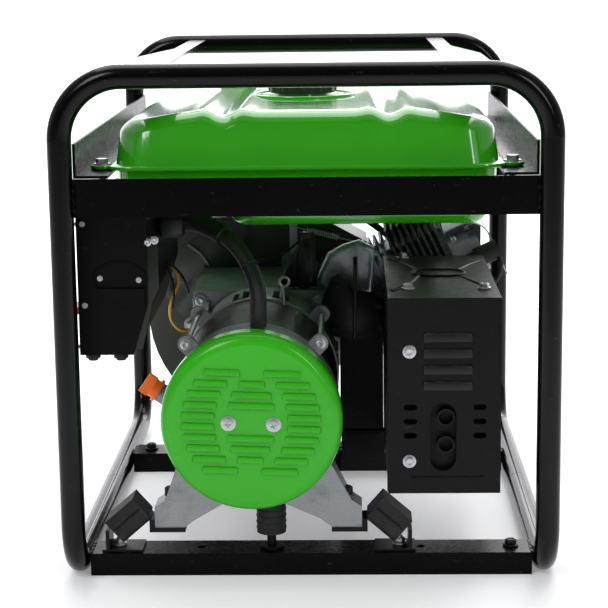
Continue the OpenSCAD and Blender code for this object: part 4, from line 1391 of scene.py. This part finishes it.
    def boss(self, radius: float, start: Point, end: Point) -> bpy.types.Object:
        """Turns a round boss with a stepped end face.

        Args:
            radius: Its radius in millimetres.
            start: Its root's centre in millimetres.
            end: Its face's centre in millimetres.

        Returns:
            The boss.
        """
        boss = Bench.rod("boss", radius, start, end, 40)
        way = (Vector(end) - Vector(start)).normalized()
        Bench.step(boss, tuple(way), radius * 0.22, -radius * 0.12)
        Bench.round_off(boss, radius * 0.05)
        return boss

    def castings(self) -> None:
        """Adds the ribs, bosses and manifold of the crankcase and head."""
        ribs = [Bench.block("rib", (4, 6, 60), (x, self.cover_y - 2.6, 220)) for x in (-128, -104, -18, 0)]
        ribs += [Bench.block("rib", (4, 6, 34), (x, self.cover_y - 2.6, 92)) for x in (-120, -80, -42, -4)]
        bosses = [self.boss(9, (x, self.cover_y, z), (x, self.cover_y - 3, z))
                  for x, z in ((-138, 250), (-138, 176), (6, 176), (6, 250))]
        for rib in ribs:
            Bench.round_off(rib, 1.4)
        x = self.side_x
        ribs += [Bench.block("rib", (4, 4, 92), (x - 0.6, y, 204)) for y in (4, 36, 68, 100, 132)]
        ribs.append(Bench.block("rib", (4, 132, 4), (x - 0.6, 68, 156)))
        for rib in ribs[8:]:
            Bench.round_off(rib, 1.2)
        bosses += [self.boss(17, (x + 1, 84, 112), (x - 3, 84, 112)),
                   self.boss(6, (x + 1, 66, 128), (x - 4, 66, 128)),
                   self.boss(6, (x + 1, 102, 96), (x - 4, 102, 96))]
        fit(Bench.join("crankcase_ribs", ribs + bosses), Shop.CASTING)
        port = self.along(222, -40, 58)
        manifold = Bench.hose("manifold", [port, (140, 124, 282), (146, 126, 276)], 15, 24)
        fit(manifold, Shop.SOFT_PLASTIC)
        manifold.name = "intake_manifold"

    def leads(self) -> None:
        """Adds the spark plug lead along its route from the plug."""
        start = self.along(310, 0, -66)
        route = [start, (start[0] + 8, -8, start[2] - 14), (210, 30, 250), (196, 92, 226), (150, 128, 214),
                 (96, 146, 240)]
        lead = Bench.hose("plug_lead", route, 3.4, 12)
        Shop.RUBBER.put_on(lead)
        tuple(mm(*route[0]))
        tuple(mm(*route[2]))
        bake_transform(lead)
        LOG.info("plug_lead: %d faces", len(lead.data.polygons))

    def cord(self) -> None:
        """Adds the starter cord along the CAD rope's box and hides the CAD rope."""
        low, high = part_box("recoil_rope")
        y, z = (low[1] + high[1]) / 2 / MM, (low[2] + high[2]) / 2 / MM
        first, last = high[0] / MM, low[0] / MM
        route = [(first + (last - first) * i / 12, y, z) for i in range(13)]
        cord = Bench.hose("starter_cord", route, 2.9, 16)
        Shop.ROPE.put_on(cord)
        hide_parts("recoil_rope")
        tuple(mm(first - 30, y, z))
        tuple(mm(last + 6, y, z))
        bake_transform(cord)
        LOG.info("starter_cord: %d faces", len(cord.data.polygons))

    def build(self) -> None:
        """Adds every engine piece."""
        self.brackets()
        self.fan_plate()
        self.shroud()
        self.linkage()
        self.castings()
        self.fasteners()
        self.leads()
        self.cord()


@dataclass
class Exhaust(Assembly):
    """The pipe, silencer and its guard."""

    left: float = 84.5
    right: float = 204.5
    front: float = -304.0
    roof: float = 305.0

    def dressed(self) -> dict[str, Shop]:
        """Heat-resistant black with a bare exhaust pipe."""
        return {
            "exhaust_pipe": Shop.EXHAUST,
            "muffler": Shop.MUFFLER,
            "muffler_shield": Shop.GUARD,
            "outlet_pipes": Shop.MUFFLER,
            "heat_shield": Shop.MUFFLER,
        }

    def build(self) -> None:
        """Adds the guard's screws, pressings and lip, and the pipe's flange nuts."""
        face = Fasteners("guard_screws", Head.FLANGE, 5.4, 6.0)
        face.add((0, -1, 0), (107, self.front, 248), (107, self.front, 128))
        face.add((0, 0, 1), (108, -45, self.roof), (107.5, -247, self.roof), (190, -247, self.roof))
        face.drive()
        press = Bench.block("roof_pressing", (62, 46, 3), (145, -149, self.roof + 0.2))
        Bench.bevel_edges(press, Bench.upright, 21, 8)
        Bench.step(press, (0, 0, 1), 3.5, -1.6)
        Bench.round_off(press, 0.8, 3)
        z = self.roof - 0.6
        creases = [
            Bench.hose("crease", route, 2.3, 12)
            for route in (
                [(90, -52, z), (108, -84, z), (123, -130, z)],
                [(197, -74, z), (183, -98, z), (168, -132, z)],
                [(197, -244, z), (183, -212, z), (168, -168, z)],
                [(90, -258, z), (108, -220, z), (122, -168, z)],
            )
        ]
        ridge = Bench.hose("front_bead", [(x, self.front + 0.6, 110) for x in (108, 187)], 1.8, 12)
        edge = Bench.hose("top_bend", [(self.left + 1, self.front + 0.6, self.roof - 0.6),
                                       (self.right - 1, self.front + 0.6, self.roof - 0.6)], 1.2, 12)
        fit(Bench.join("guard_pressings", [press, *creases, ridge, edge]), Shop.GUARD)
        x = self.left - 0.6
        lip = Bench.strip("guard_lip", [(x, -301, 94), (x, -302, 190), (x, -302, 300)], (0, 6, 0), 1.2)
        Bench.round_off(lip, 0.3)
        fit(lip, Shop.GUARD)
        size, y = (53, 3.6, 9.5), self.front - 1.6
        hoods = [louvre_hood(size, (148, y, z + 3.2), 2.6, 0) for z in (208, 225.5, 243, 260.5)]
        # The hoods take the paler louvre paint, a painted highlight over the guard's black.
        fit(Bench.join("guard_louvres", hoods), Shop.LOUVRE)
        corners = [(33, -45, 42), (33, -45, 96), (86, -45, 96), (86, -45, 42)]
        skirt = Bench.outline("shield_skirt", corners, 2.0)
        Bench.step(skirt, (0, -1, 0), 6, 1.4)
        Bench.round_off(skirt, 0.6)
        fit(skirt, Shop.MUFFLER)
        flange = Fasteners("exhaust_flange_nuts", Head.NUT, 6.0, 7.5, 5.0)
        flange.add((0, -1, 0), (141, 0, 226), (173, 0, 240))
        fit(flange.build(), Shop.EXHAUST)


@dataclass
class Alternator(Assembly):
    """The alternator with its green end cover."""

    axis_x: float = -61.0
    axis_z: float = 175.5
    cover_y: float = -325.0
    ear_r: float = 103.0
    pitch: float = 11.8
    gap: tuple[float, float] = (41.0, 57.0)
    field_size: tuple[float, float] = (72.0, 72.0)
    island: tuple[float, float] = (24.0, 47.0)

    def dressed(self) -> dict[str, Shop]:
        """Castings round dark laminations."""
        return {
            "adapter_bell": Shop.CASTING,
            "stator": Shop.LAMINATION,
            "rotor": Shop.LAMINATION,
            "end_bell": Shop.CASTING,
            "end_cover": Shop.COVER,
            "end_bearing": Shop.MACHINED,
            "voltage_regulator": Shop.PLASTIC,
        }

    def louvres(self, tilt: float) -> None:
        """Presses the hoods over the end cover's slots.

        Args:
            tilt: The cover's turn in degrees.
        """
        def half(height: float, wide: float, high: float) -> float:
            """Gives an ellipse's half width at a height, 0 beyond its top."""
            return wide * math.sqrt(max(0.0, 1 - (height / high) ** 2))

        c, s = math.cos(math.radians(tilt)), math.sin(math.radians(tilt))
        hoods = []
        for row in range(10):
            w = (row - 4.5) * self.pitch
            near, far, middle = half(w, *self.gap), half(w, *self.field_size), half(w, *self.island)
            spans = [(-(near + far) / 2, far - near), ((near + far) / 2, far - near)]
            if abs(w) > 10 and middle > 8:
                spans.append((0.0, 2 * middle))
            for u, length in spans:
                at = (self.axis_x + u * c - w * s, self.cover_y - 1.2, self.axis_z - u * s - w * c + 2.2)
                hoods.append(louvre_hood((length + 5, 3.4, 6.6), at, 2.2, tilt))
        fit(Bench.join("cover_louvres", hoods), Shop.COVER)

    def winding(self, name: str, y: float) -> bpy.types.Object:
        """Winds the coil ends that show at one end of the stator.

        Args:
            name: The piece's name.
            y: The middle of the winding in millimetres.

        Returns:
            The winding.
        """
        ring = Bench.ring(name, (self.axis_x, y, self.axis_z), (0, -1, 0), (68, 8.5), (96, 14))
        centre = mm(self.axis_x, y, self.axis_z)
        for vertex in ring.data.vertices:
            out = vertex.co - centre
            angle = math.atan2(out.z, out.x)
            vertex.co = centre + out * (1 + 0.02 * math.sin(angle * 24))
        return ring

    def build(self) -> None:
        """Adds the cover screws, tie bolts, foot bolts, bell ribs and windings."""
        turn = math.radians(-2)
        screws = Fasteners("cover_screws", Head.PAN, 5.6, 5.0)
        x, z, across, up = self.axis_x, self.axis_z, 24 * math.cos(turn), 24 * math.sin(turn)
        spots = [(x + side * across, self.cover_y, z + side * up) for side in (-1, 1)]
        washers = [Bench.rod("washer", 8.2, p, (p[0], p[1] - 1.0, p[2]), 32) for p in spots]
        screws.add((0, -1, 0), *[(x, y - 1.0, z) for x, y, z in spots])
        for washer in washers:
            Bench.round_off(washer, 0.3)
        fit(Bench.join("cover_screws", [screws.build(), *washers]), Shop.ZINC)
        self.louvres(math.degrees(-turn))
        ties = Fasteners("tie_bolts", Head.FLANGE, 4.8, 6.5, 0.0)
        nuts = Fasteners("tie_nuts", Head.NUT, 5.6, 6.0, 4.0)
        rods = []
        for quarter in range(4):
            a = math.radians(45 + 90 * quarter)
            x, z = self.axis_x + self.ear_r * math.cos(a), self.axis_z + self.ear_r * math.sin(a)
            ties.add((0, -1, 0), (x, -262, z))
            nuts.add((0, 1, 0), (x, -88, z))
            rods.append(Bench.rod("tie", 2.9, (x, -250, z), (x, -100, z), 16))
        ties.drive()
        nuts.drive()
        for rod in rods:
            Bench.smooth(rod)
        fit(Bench.join("tie_rods", rods), Shop.ZINC)
        feet = Fasteners("foot_nuts", Head.NUT, 7.5, 8.0, 6.0)
        feet.add((0, 0, 1), *[(x, -281, 75.2) for x in (-153, 40)])
        feet.drive()
        caps = []
        for x in (-153, 40):
            cap = Bench.rod("cap", 6.2, (x, -281, 84), (x, -281, 93), 24)
            Bench.step(cap, (0, 0, 1), 1.4, 1.2)
            Bench.round_off(cap, 0.6)
            caps.append(cap)
        fit(Bench.join("stud_caps", caps), Shop.RUBBER)
        fit(self.winding("front_winding", -241), Shop.COPPER)
        fit(self.winding("rear_winding", -109), Shop.COPPER)
        ribs = []
        for i in range(12):
            a = math.radians(15 + 30 * i)
            at = (self.axis_x + 92.6 * math.cos(a), -60, self.axis_z + 92.6 * math.sin(a))
            ribs.append(Bench.block("rib", (3, 56, 4), at, (0, -math.degrees(a), 0)))
        for rib in ribs:
            Bench.round_off(rib, 0.8)
        fit(Bench.join("bell_ribs", ribs), Shop.CASTING)


@dataclass
class Mounting(Assembly):
    """Rubber mounts, their brackets and studs."""

    def dressed(self) -> dict[str, Shop]:
        """Rubber in black brackets."""
        return {"rubber_mounts": Shop.RUBBER, "mount_brackets": Shop.BRACKET}

    def build(self) -> None:
        """Adds the bracket bolts and the steel faces of the rubber blocks."""
        bolts = Fasteners("mount_bolts", Head.FLANGE, 6.0, 7.5, 2.0)
        bolts.add((0, 0, 1), (-210, -281, 28.2), (97, -281, 28.2), (-150, 118, 28.2), (28, 118, 28.2))
        bolts.drive()
        plates = []
        for x, tilt in ((-199, -41), (86, 41)):
            plates.append(Bench.block("plate", (36, 37.5, 2.4), (x, -281, 62), (0, tilt, 0)))
            Bench.round_off(plates[-1], 0.6)
        fit(Bench.join("rubber_block_plates", plates), Shop.BRACKET)
        ribs = [Bench.ring("rib", (-43, -281, z), (0, 0, 1), (15.2, 1.5), (40, 8)) for z in (48, 55, 62, 69)]
        fit(Bench.join("bumper_ribs", ribs), Shop.RUBBER)


@dataclass
class ControlPanel(Assembly):
    """The control box with its meter, switches and sockets."""

    face_x: float = -243.0
    end_y: float = -302.0
    outlet_y: tuple[float, float] = (-104.0, -16.0)
    outlet_z: float = 352.0

    def dressed(self) -> dict[str, Shop]:
        """Charcoal box with moulded fittings."""
        return {
            "panel_box": Shop.PANEL,
            "panel_face": Shop.PANEL,
            "voltmeter": Shop.SOFT_PLASTIC,
            "engine_switch": Shop.RED,
            "breaker_lever": Shop.SOFT_PLASTIC,
            "dc_breaker_button": Shop.WHITE,
            "outlet_cover_left": Shop.SOFT_PLASTIC,
            "outlet_cover_right": Shop.SOFT_PLASTIC,
            "wiring_loom": Shop.SLEEVE,
        }

    def socket(self, y: float) -> bpy.types.Object:
        """Models an outlet's face with its pin holes and collar."""
        x, z = self.face_x, self.outlet_z
        face = Bench.rod("socket", 22.5, (x + 0.5, y, z), (x - 2.2, y, z), 48)
        Bench.step(face, (-1, 0, 0), 3.2, -1.6)
        pins = [Bench.rod("pin", 2.6, (x - 6, y + d, z), (x + 1, y + d, z), 16) for d in (-9.5, 9.5)]
        pins.append(Bench.block("pin", (8, 7, 3), (x - 1.5, y, z - 11)))
        Bench.cut(face, pins)
        Bench.smooth(face, 30)
        return face

    def stay(self) -> None:
        """Adds the stay between the box and the crankcase, and its bolts."""
        corners = [(-182, 373), (-158, 373), (-157, 318), (-164, 304), (-176, 252), (-186, 252), (-190, 300)]
        plate = Bench.outline("panel_stay", [(x, -299, z) for x, z in corners], 2.5)
        Bench.round_off(plate, 0.6)
        fit(plate, Shop.OLIVE)
        bolts = Fasteners("panel_stay_bolts", Head.FLANGE, 3.2, 4.5)
        bolts.add((0, -1, 0), (-168, -300.4, 367), (-160.5, -300.4, 369))
        bolts.drive()

    def build(self) -> None:
        """Adds the screws, stay, sockets, meter dial, earth terminal and cable clamp."""
        end = Fasteners("panel_screws", Head.PAN, 3.0, 2.4)
        spots = ((-236, 387), (-219, 329), (-178, 327), (-236, 300))
        end.add((0, -1, 0), *[(x, self.end_y, z) for x, z in spots])
        corners = [(self.face_x, y, z) for y in (-294, 30) for z in (254, 386)]
        end.add((-1, 0, 0), *corners)
        end.drive()
        loop = ((-224, 319), (-224, 337), (-173.5, 337), (-173.5, 319), (-224, 319))
        bead = Bench.hose("end_bead", [(x, self.end_y, z) for x, z in loop], 1.3, 8)
        fit(bead, Shop.PANEL)
        grommets = []
        for x in (-231, -201):
            grommet = Bench.rod("grommet", 8, (x, -288, 246.5), (x, -288, 240), 28)
            Bench.step(grommet, (0, 0, -1), 2.5, 2.5)
            Bench.round_off(grommet, 1.2)
            grommets.append(grommet)
        fit(Bench.join("panel_grommets", grommets), Shop.RUBBER)
        self.stay()
        sockets = Bench.join("outlet_faces", [self.socket(y) for y in self.outlet_y])
        fit(sockets, Shop.SOFT_PLASTIC)
        x = self.face_x
        dial = Bench.block("meter_dial", (1.2, 38, 34), (x - 5.2, -245, 354))
        Bench.round_off(dial, 0.3)
        fit(dial, Shop.WHITE)
        ticks = []
        for i in range(9):
            a = math.radians(-48 + 12 * i)
            at = (x - 6.0, -245 - 14 * math.sin(a), 344 + 17 * math.cos(a))
            size = (0.4, 0.8, 3.2 if i % 4 == 0 else 2.0)
            ticks.append(Bench.block("tick", size, at, (math.degrees(a), 0, 0)))
        ticks.append(Bench.block("needle", (0.5, 0.9, 18), (x - 6.2, -241.5, 352), (22, 0, 0)))
        fit(Bench.join("meter_scale", ticks), Shop.RED)
        earth = Fasteners("earth_terminal", Head.NUT, 6.0, 8.0, 9.0).add((-1, 0, 0), (x, 18, 270))
        fit(earth.build(), Shop.BRASS)
        bezel = Bench.rod("switch_bezel", 17, (x, -245, 286), (x - 1.6, -245, 286), 40)
        Bench.step(bezel, (-1, 0, 0), 2, -0.8)
        Bench.smooth(bezel, 30)
        fit(bezel, Shop.ZINC)
        clamp = Bench.block("loom_clamp", (30, 40, 24), (-153.5, -178, 367))
        Bench.bevel_edges(clamp, lambda e: True, 6, 4)
        Bench.smooth(clamp)
        fit(clamp, Shop.PLASTIC)
        top = (-94, -212.6, 359.7)
        route = [(-152, -178, 368), (-143, -183, 371), (-127, -190, 372), (-104, -205, 365), top]
        fit(Bench.hose("loom_boot", route, 11.2, 24), Shop.SLEEVE)
        routes = (
            [(-168, -110, 312), (-160, -104, 306), (-152, -90, 292), (-148, -60, 268)],
            [(-168, -112, 306), (-164, -106, 296), (-162, -96, 276), (-166, -80, 252)],
        )
        leads = [Bench.hose("lead", route, 1.5, 8) for route in routes]
        fit(Bench.join("thin_leads", leads), Shop.RUBBER)
        route = [(-167.2, -60, 300), (-160, -55, 285), (-172, -40, 250), (-170, -25, 222), (-156, -15, 212),
                 (-148.5, -6, 218)]
        fit(Bench.hose("sense_lead", route, 2.2, 12), Shop.YELLOW)
        ties = [
            Bench.ring("tie", at, way, (9.4, 1.1), (32, 8))
            for at, way in ((top, (1, -0.8, -0.6)), ((-64, -241, 330), (0.4, -0.8, -1)))
        ]
        fit(Bench.join("loom_ties", ties), Shop.PLASTIC)


# ---------------------------------------------------------------- studio


@dataclass
class Studio:
    """The pale floor, the soft lights and the camera."""

    eye: Point = (45.4, -2159.8, 661.4)
    lens: float = 106.2
    yaw: float = 1.522
    pitch: float = 11.009
    roll: float = -0.70
    air_front: float = 0.10
    air_back: float = 0.75

    def floor(self) -> None:
        """Adds a flat floor and an upright backdrop wall behind it."""
        Bench.clear()
        bpy.ops.mesh.primitive_plane_add(size=12, location=(0, 0, 0))
        sweep = bpy.context.object
        sweep.name = "studio_floor"
        recipe = Recipe("studio_white")
        tone = recipe.noise(0.8, 2)
        depth = recipe.node("ShaderNodeSeparateXYZ", {}, [recipe.place], output="Y")
        # Painted shade: the floor's colour turns grey towards the front, standing in for the dark room in
        # front that the black paint reflects.
        near = (0 - depth).ramp(1.0, 1.9)
        white = recipe.blend(tone, linear("f2f2f4"), linear("f6f6f7"))
        recipe.set(
            Base_Color=recipe.blend(near, white, linear("b4b4b6")),
            Roughness=0.75 + tone * 0.05,
            # Painted light: the floor glows grey under and in front of the generator, to lift the shadows
            # there, and white behind it.
            Emission_Color=recipe.blend(depth.ramp(0.4, 1.8), linear("909092"), linear("f4f4f8")),
            Emission_Strength=0.9,
        )
        sweep.data.materials.append(recipe.material)
        Bench.clear()
        bpy.ops.mesh.primitive_plane_add(size=12, location=(0, 5.5, 4), rotation=(math.pi / 2, 0, 0))
        wall = bpy.context.object
        wall.name = "studio_backdrop"
        glow = Recipe("backdrop_white")
        white, glare = linear("ffffff"), linear("fbfbff")
        glow.set(Base_Color=white, Roughness=0.9, Emission_Color=glare, Emission_Strength=0.9)
        wall.data.materials.append(glow.material)

    def lamp(self, name: str, at: Point, aim: Point, size: Point, power: float) -> None:
        """Adds a soft box.

        Args:
            name: Its name.
            at: Its place in metres.
            aim: The point that it faces.
            size: Its width and height in metres.
            power: Its power in watts.
        """
        data = bpy.data.lights.new(name, "AREA")
        data.shape = "RECTANGLE"
        data.size, data.size_y = size[0], size[1]
        data.energy = power
        lamp = bpy.data.objects.new(name, data)
        bpy.context.scene.collection.objects.link(lamp)
        lamp.location = at
        lamp.rotation_euler = (Vector(aim) - Vector(at)).to_track_quat("-Z", "Y").to_euler()

    def sky(self) -> None:
        """Lights the room in white, dim behind the camera and bright behind the generator."""
        world = bpy.data.worlds.new("studio_air")
        world.use_nodes = True
        tree = world.node_tree
        back = tree.nodes["Background"]
        place = tree.nodes.new("ShaderNodeTexCoord")
        parts = tree.nodes.new("ShaderNodeSeparateXYZ")
        span = tree.nodes.new("ShaderNodeMapRange")
        span.inputs["From Min"].default_value = -0.8
        span.inputs["From Max"].default_value = 0.9
        span.inputs["To Min"].default_value = self.air_front
        span.inputs["To Max"].default_value = self.air_back
        tree.links.new(place.outputs["Generated"], parts.inputs[0])
        tree.links.new(parts.outputs["Y"], span.inputs["Value"])
        tree.links.new(span.outputs["Result"], back.inputs["Strength"])
        back.inputs["Color"].default_value = (1.0, 1.0, 1.02, 1.0)
        bpy.context.scene.world = world
        bpy.context.scene.view_settings.view_transform = "Standard"

    def camera(self) -> None:
        """Sets the camera on the alternator end."""
        data = bpy.data.cameras.new("camera")
        data.lens = self.lens
        data.sensor_width = 36.0
        data.clip_end = 50.0
        camera = bpy.data.objects.new("camera", data)
        bpy.context.scene.collection.objects.link(camera)
        yaw, pitch, roll = (math.radians(a) for a in (self.yaw, self.pitch, self.roll))
        ahead = Vector((-math.sin(yaw) * math.cos(pitch), math.cos(yaw) * math.cos(pitch), -math.sin(pitch)))
        side = Vector((math.cos(yaw), math.sin(yaw), 0.0))
        up = side.cross(ahead)
        right = math.cos(roll) * side + math.sin(roll) * up
        over = -math.sin(roll) * side + math.cos(roll) * up
        columns = Matrix((right, over, -ahead)).transposed().to_4x4()
        camera.matrix_world = Matrix.Translation(mm(*self.eye)) @ columns
        bpy.context.scene.camera = camera

    def build(self) -> None:
        """Builds the studio."""
        self.floor()
        self.sky()
        self.lamp("key_box", (-1.5, -2.4, 2.4), (0, 0, 0.25), (1.0, 1.2), 30)
        self.lamp("front_box", (1.7, -2.6, 1.6), (0, 0, 0.25), (0.5, 1.5), 16)
        self.lamp("top_box", (0.0, 0.5, 2.6), (0, 0, 0.3), (2.6, 2.0), 48)
        self.lamp("back_box", (0.5, 3.0, 1.8), (0, 0, 0.3), (2.4, 1.6), 44)
        self.camera()


def main() -> None:
    """Builds and dresses every sub-assembly, then the studio."""
    logging.basicConfig(level=logging.INFO, format="%(message)s")
    assemblies: list[Assembly] = [
        TubeFrame(), FuelTank(), Engine(), Exhaust(), Alternator(), Mounting(), ControlPanel(),
    ]
    for assembly in assemblies:
        LOG.info("-- %s", type(assembly).__name__)
        assembly.dress()
        assembly.build()
    Studio().build()


if __name__ == "__main__":
    main()
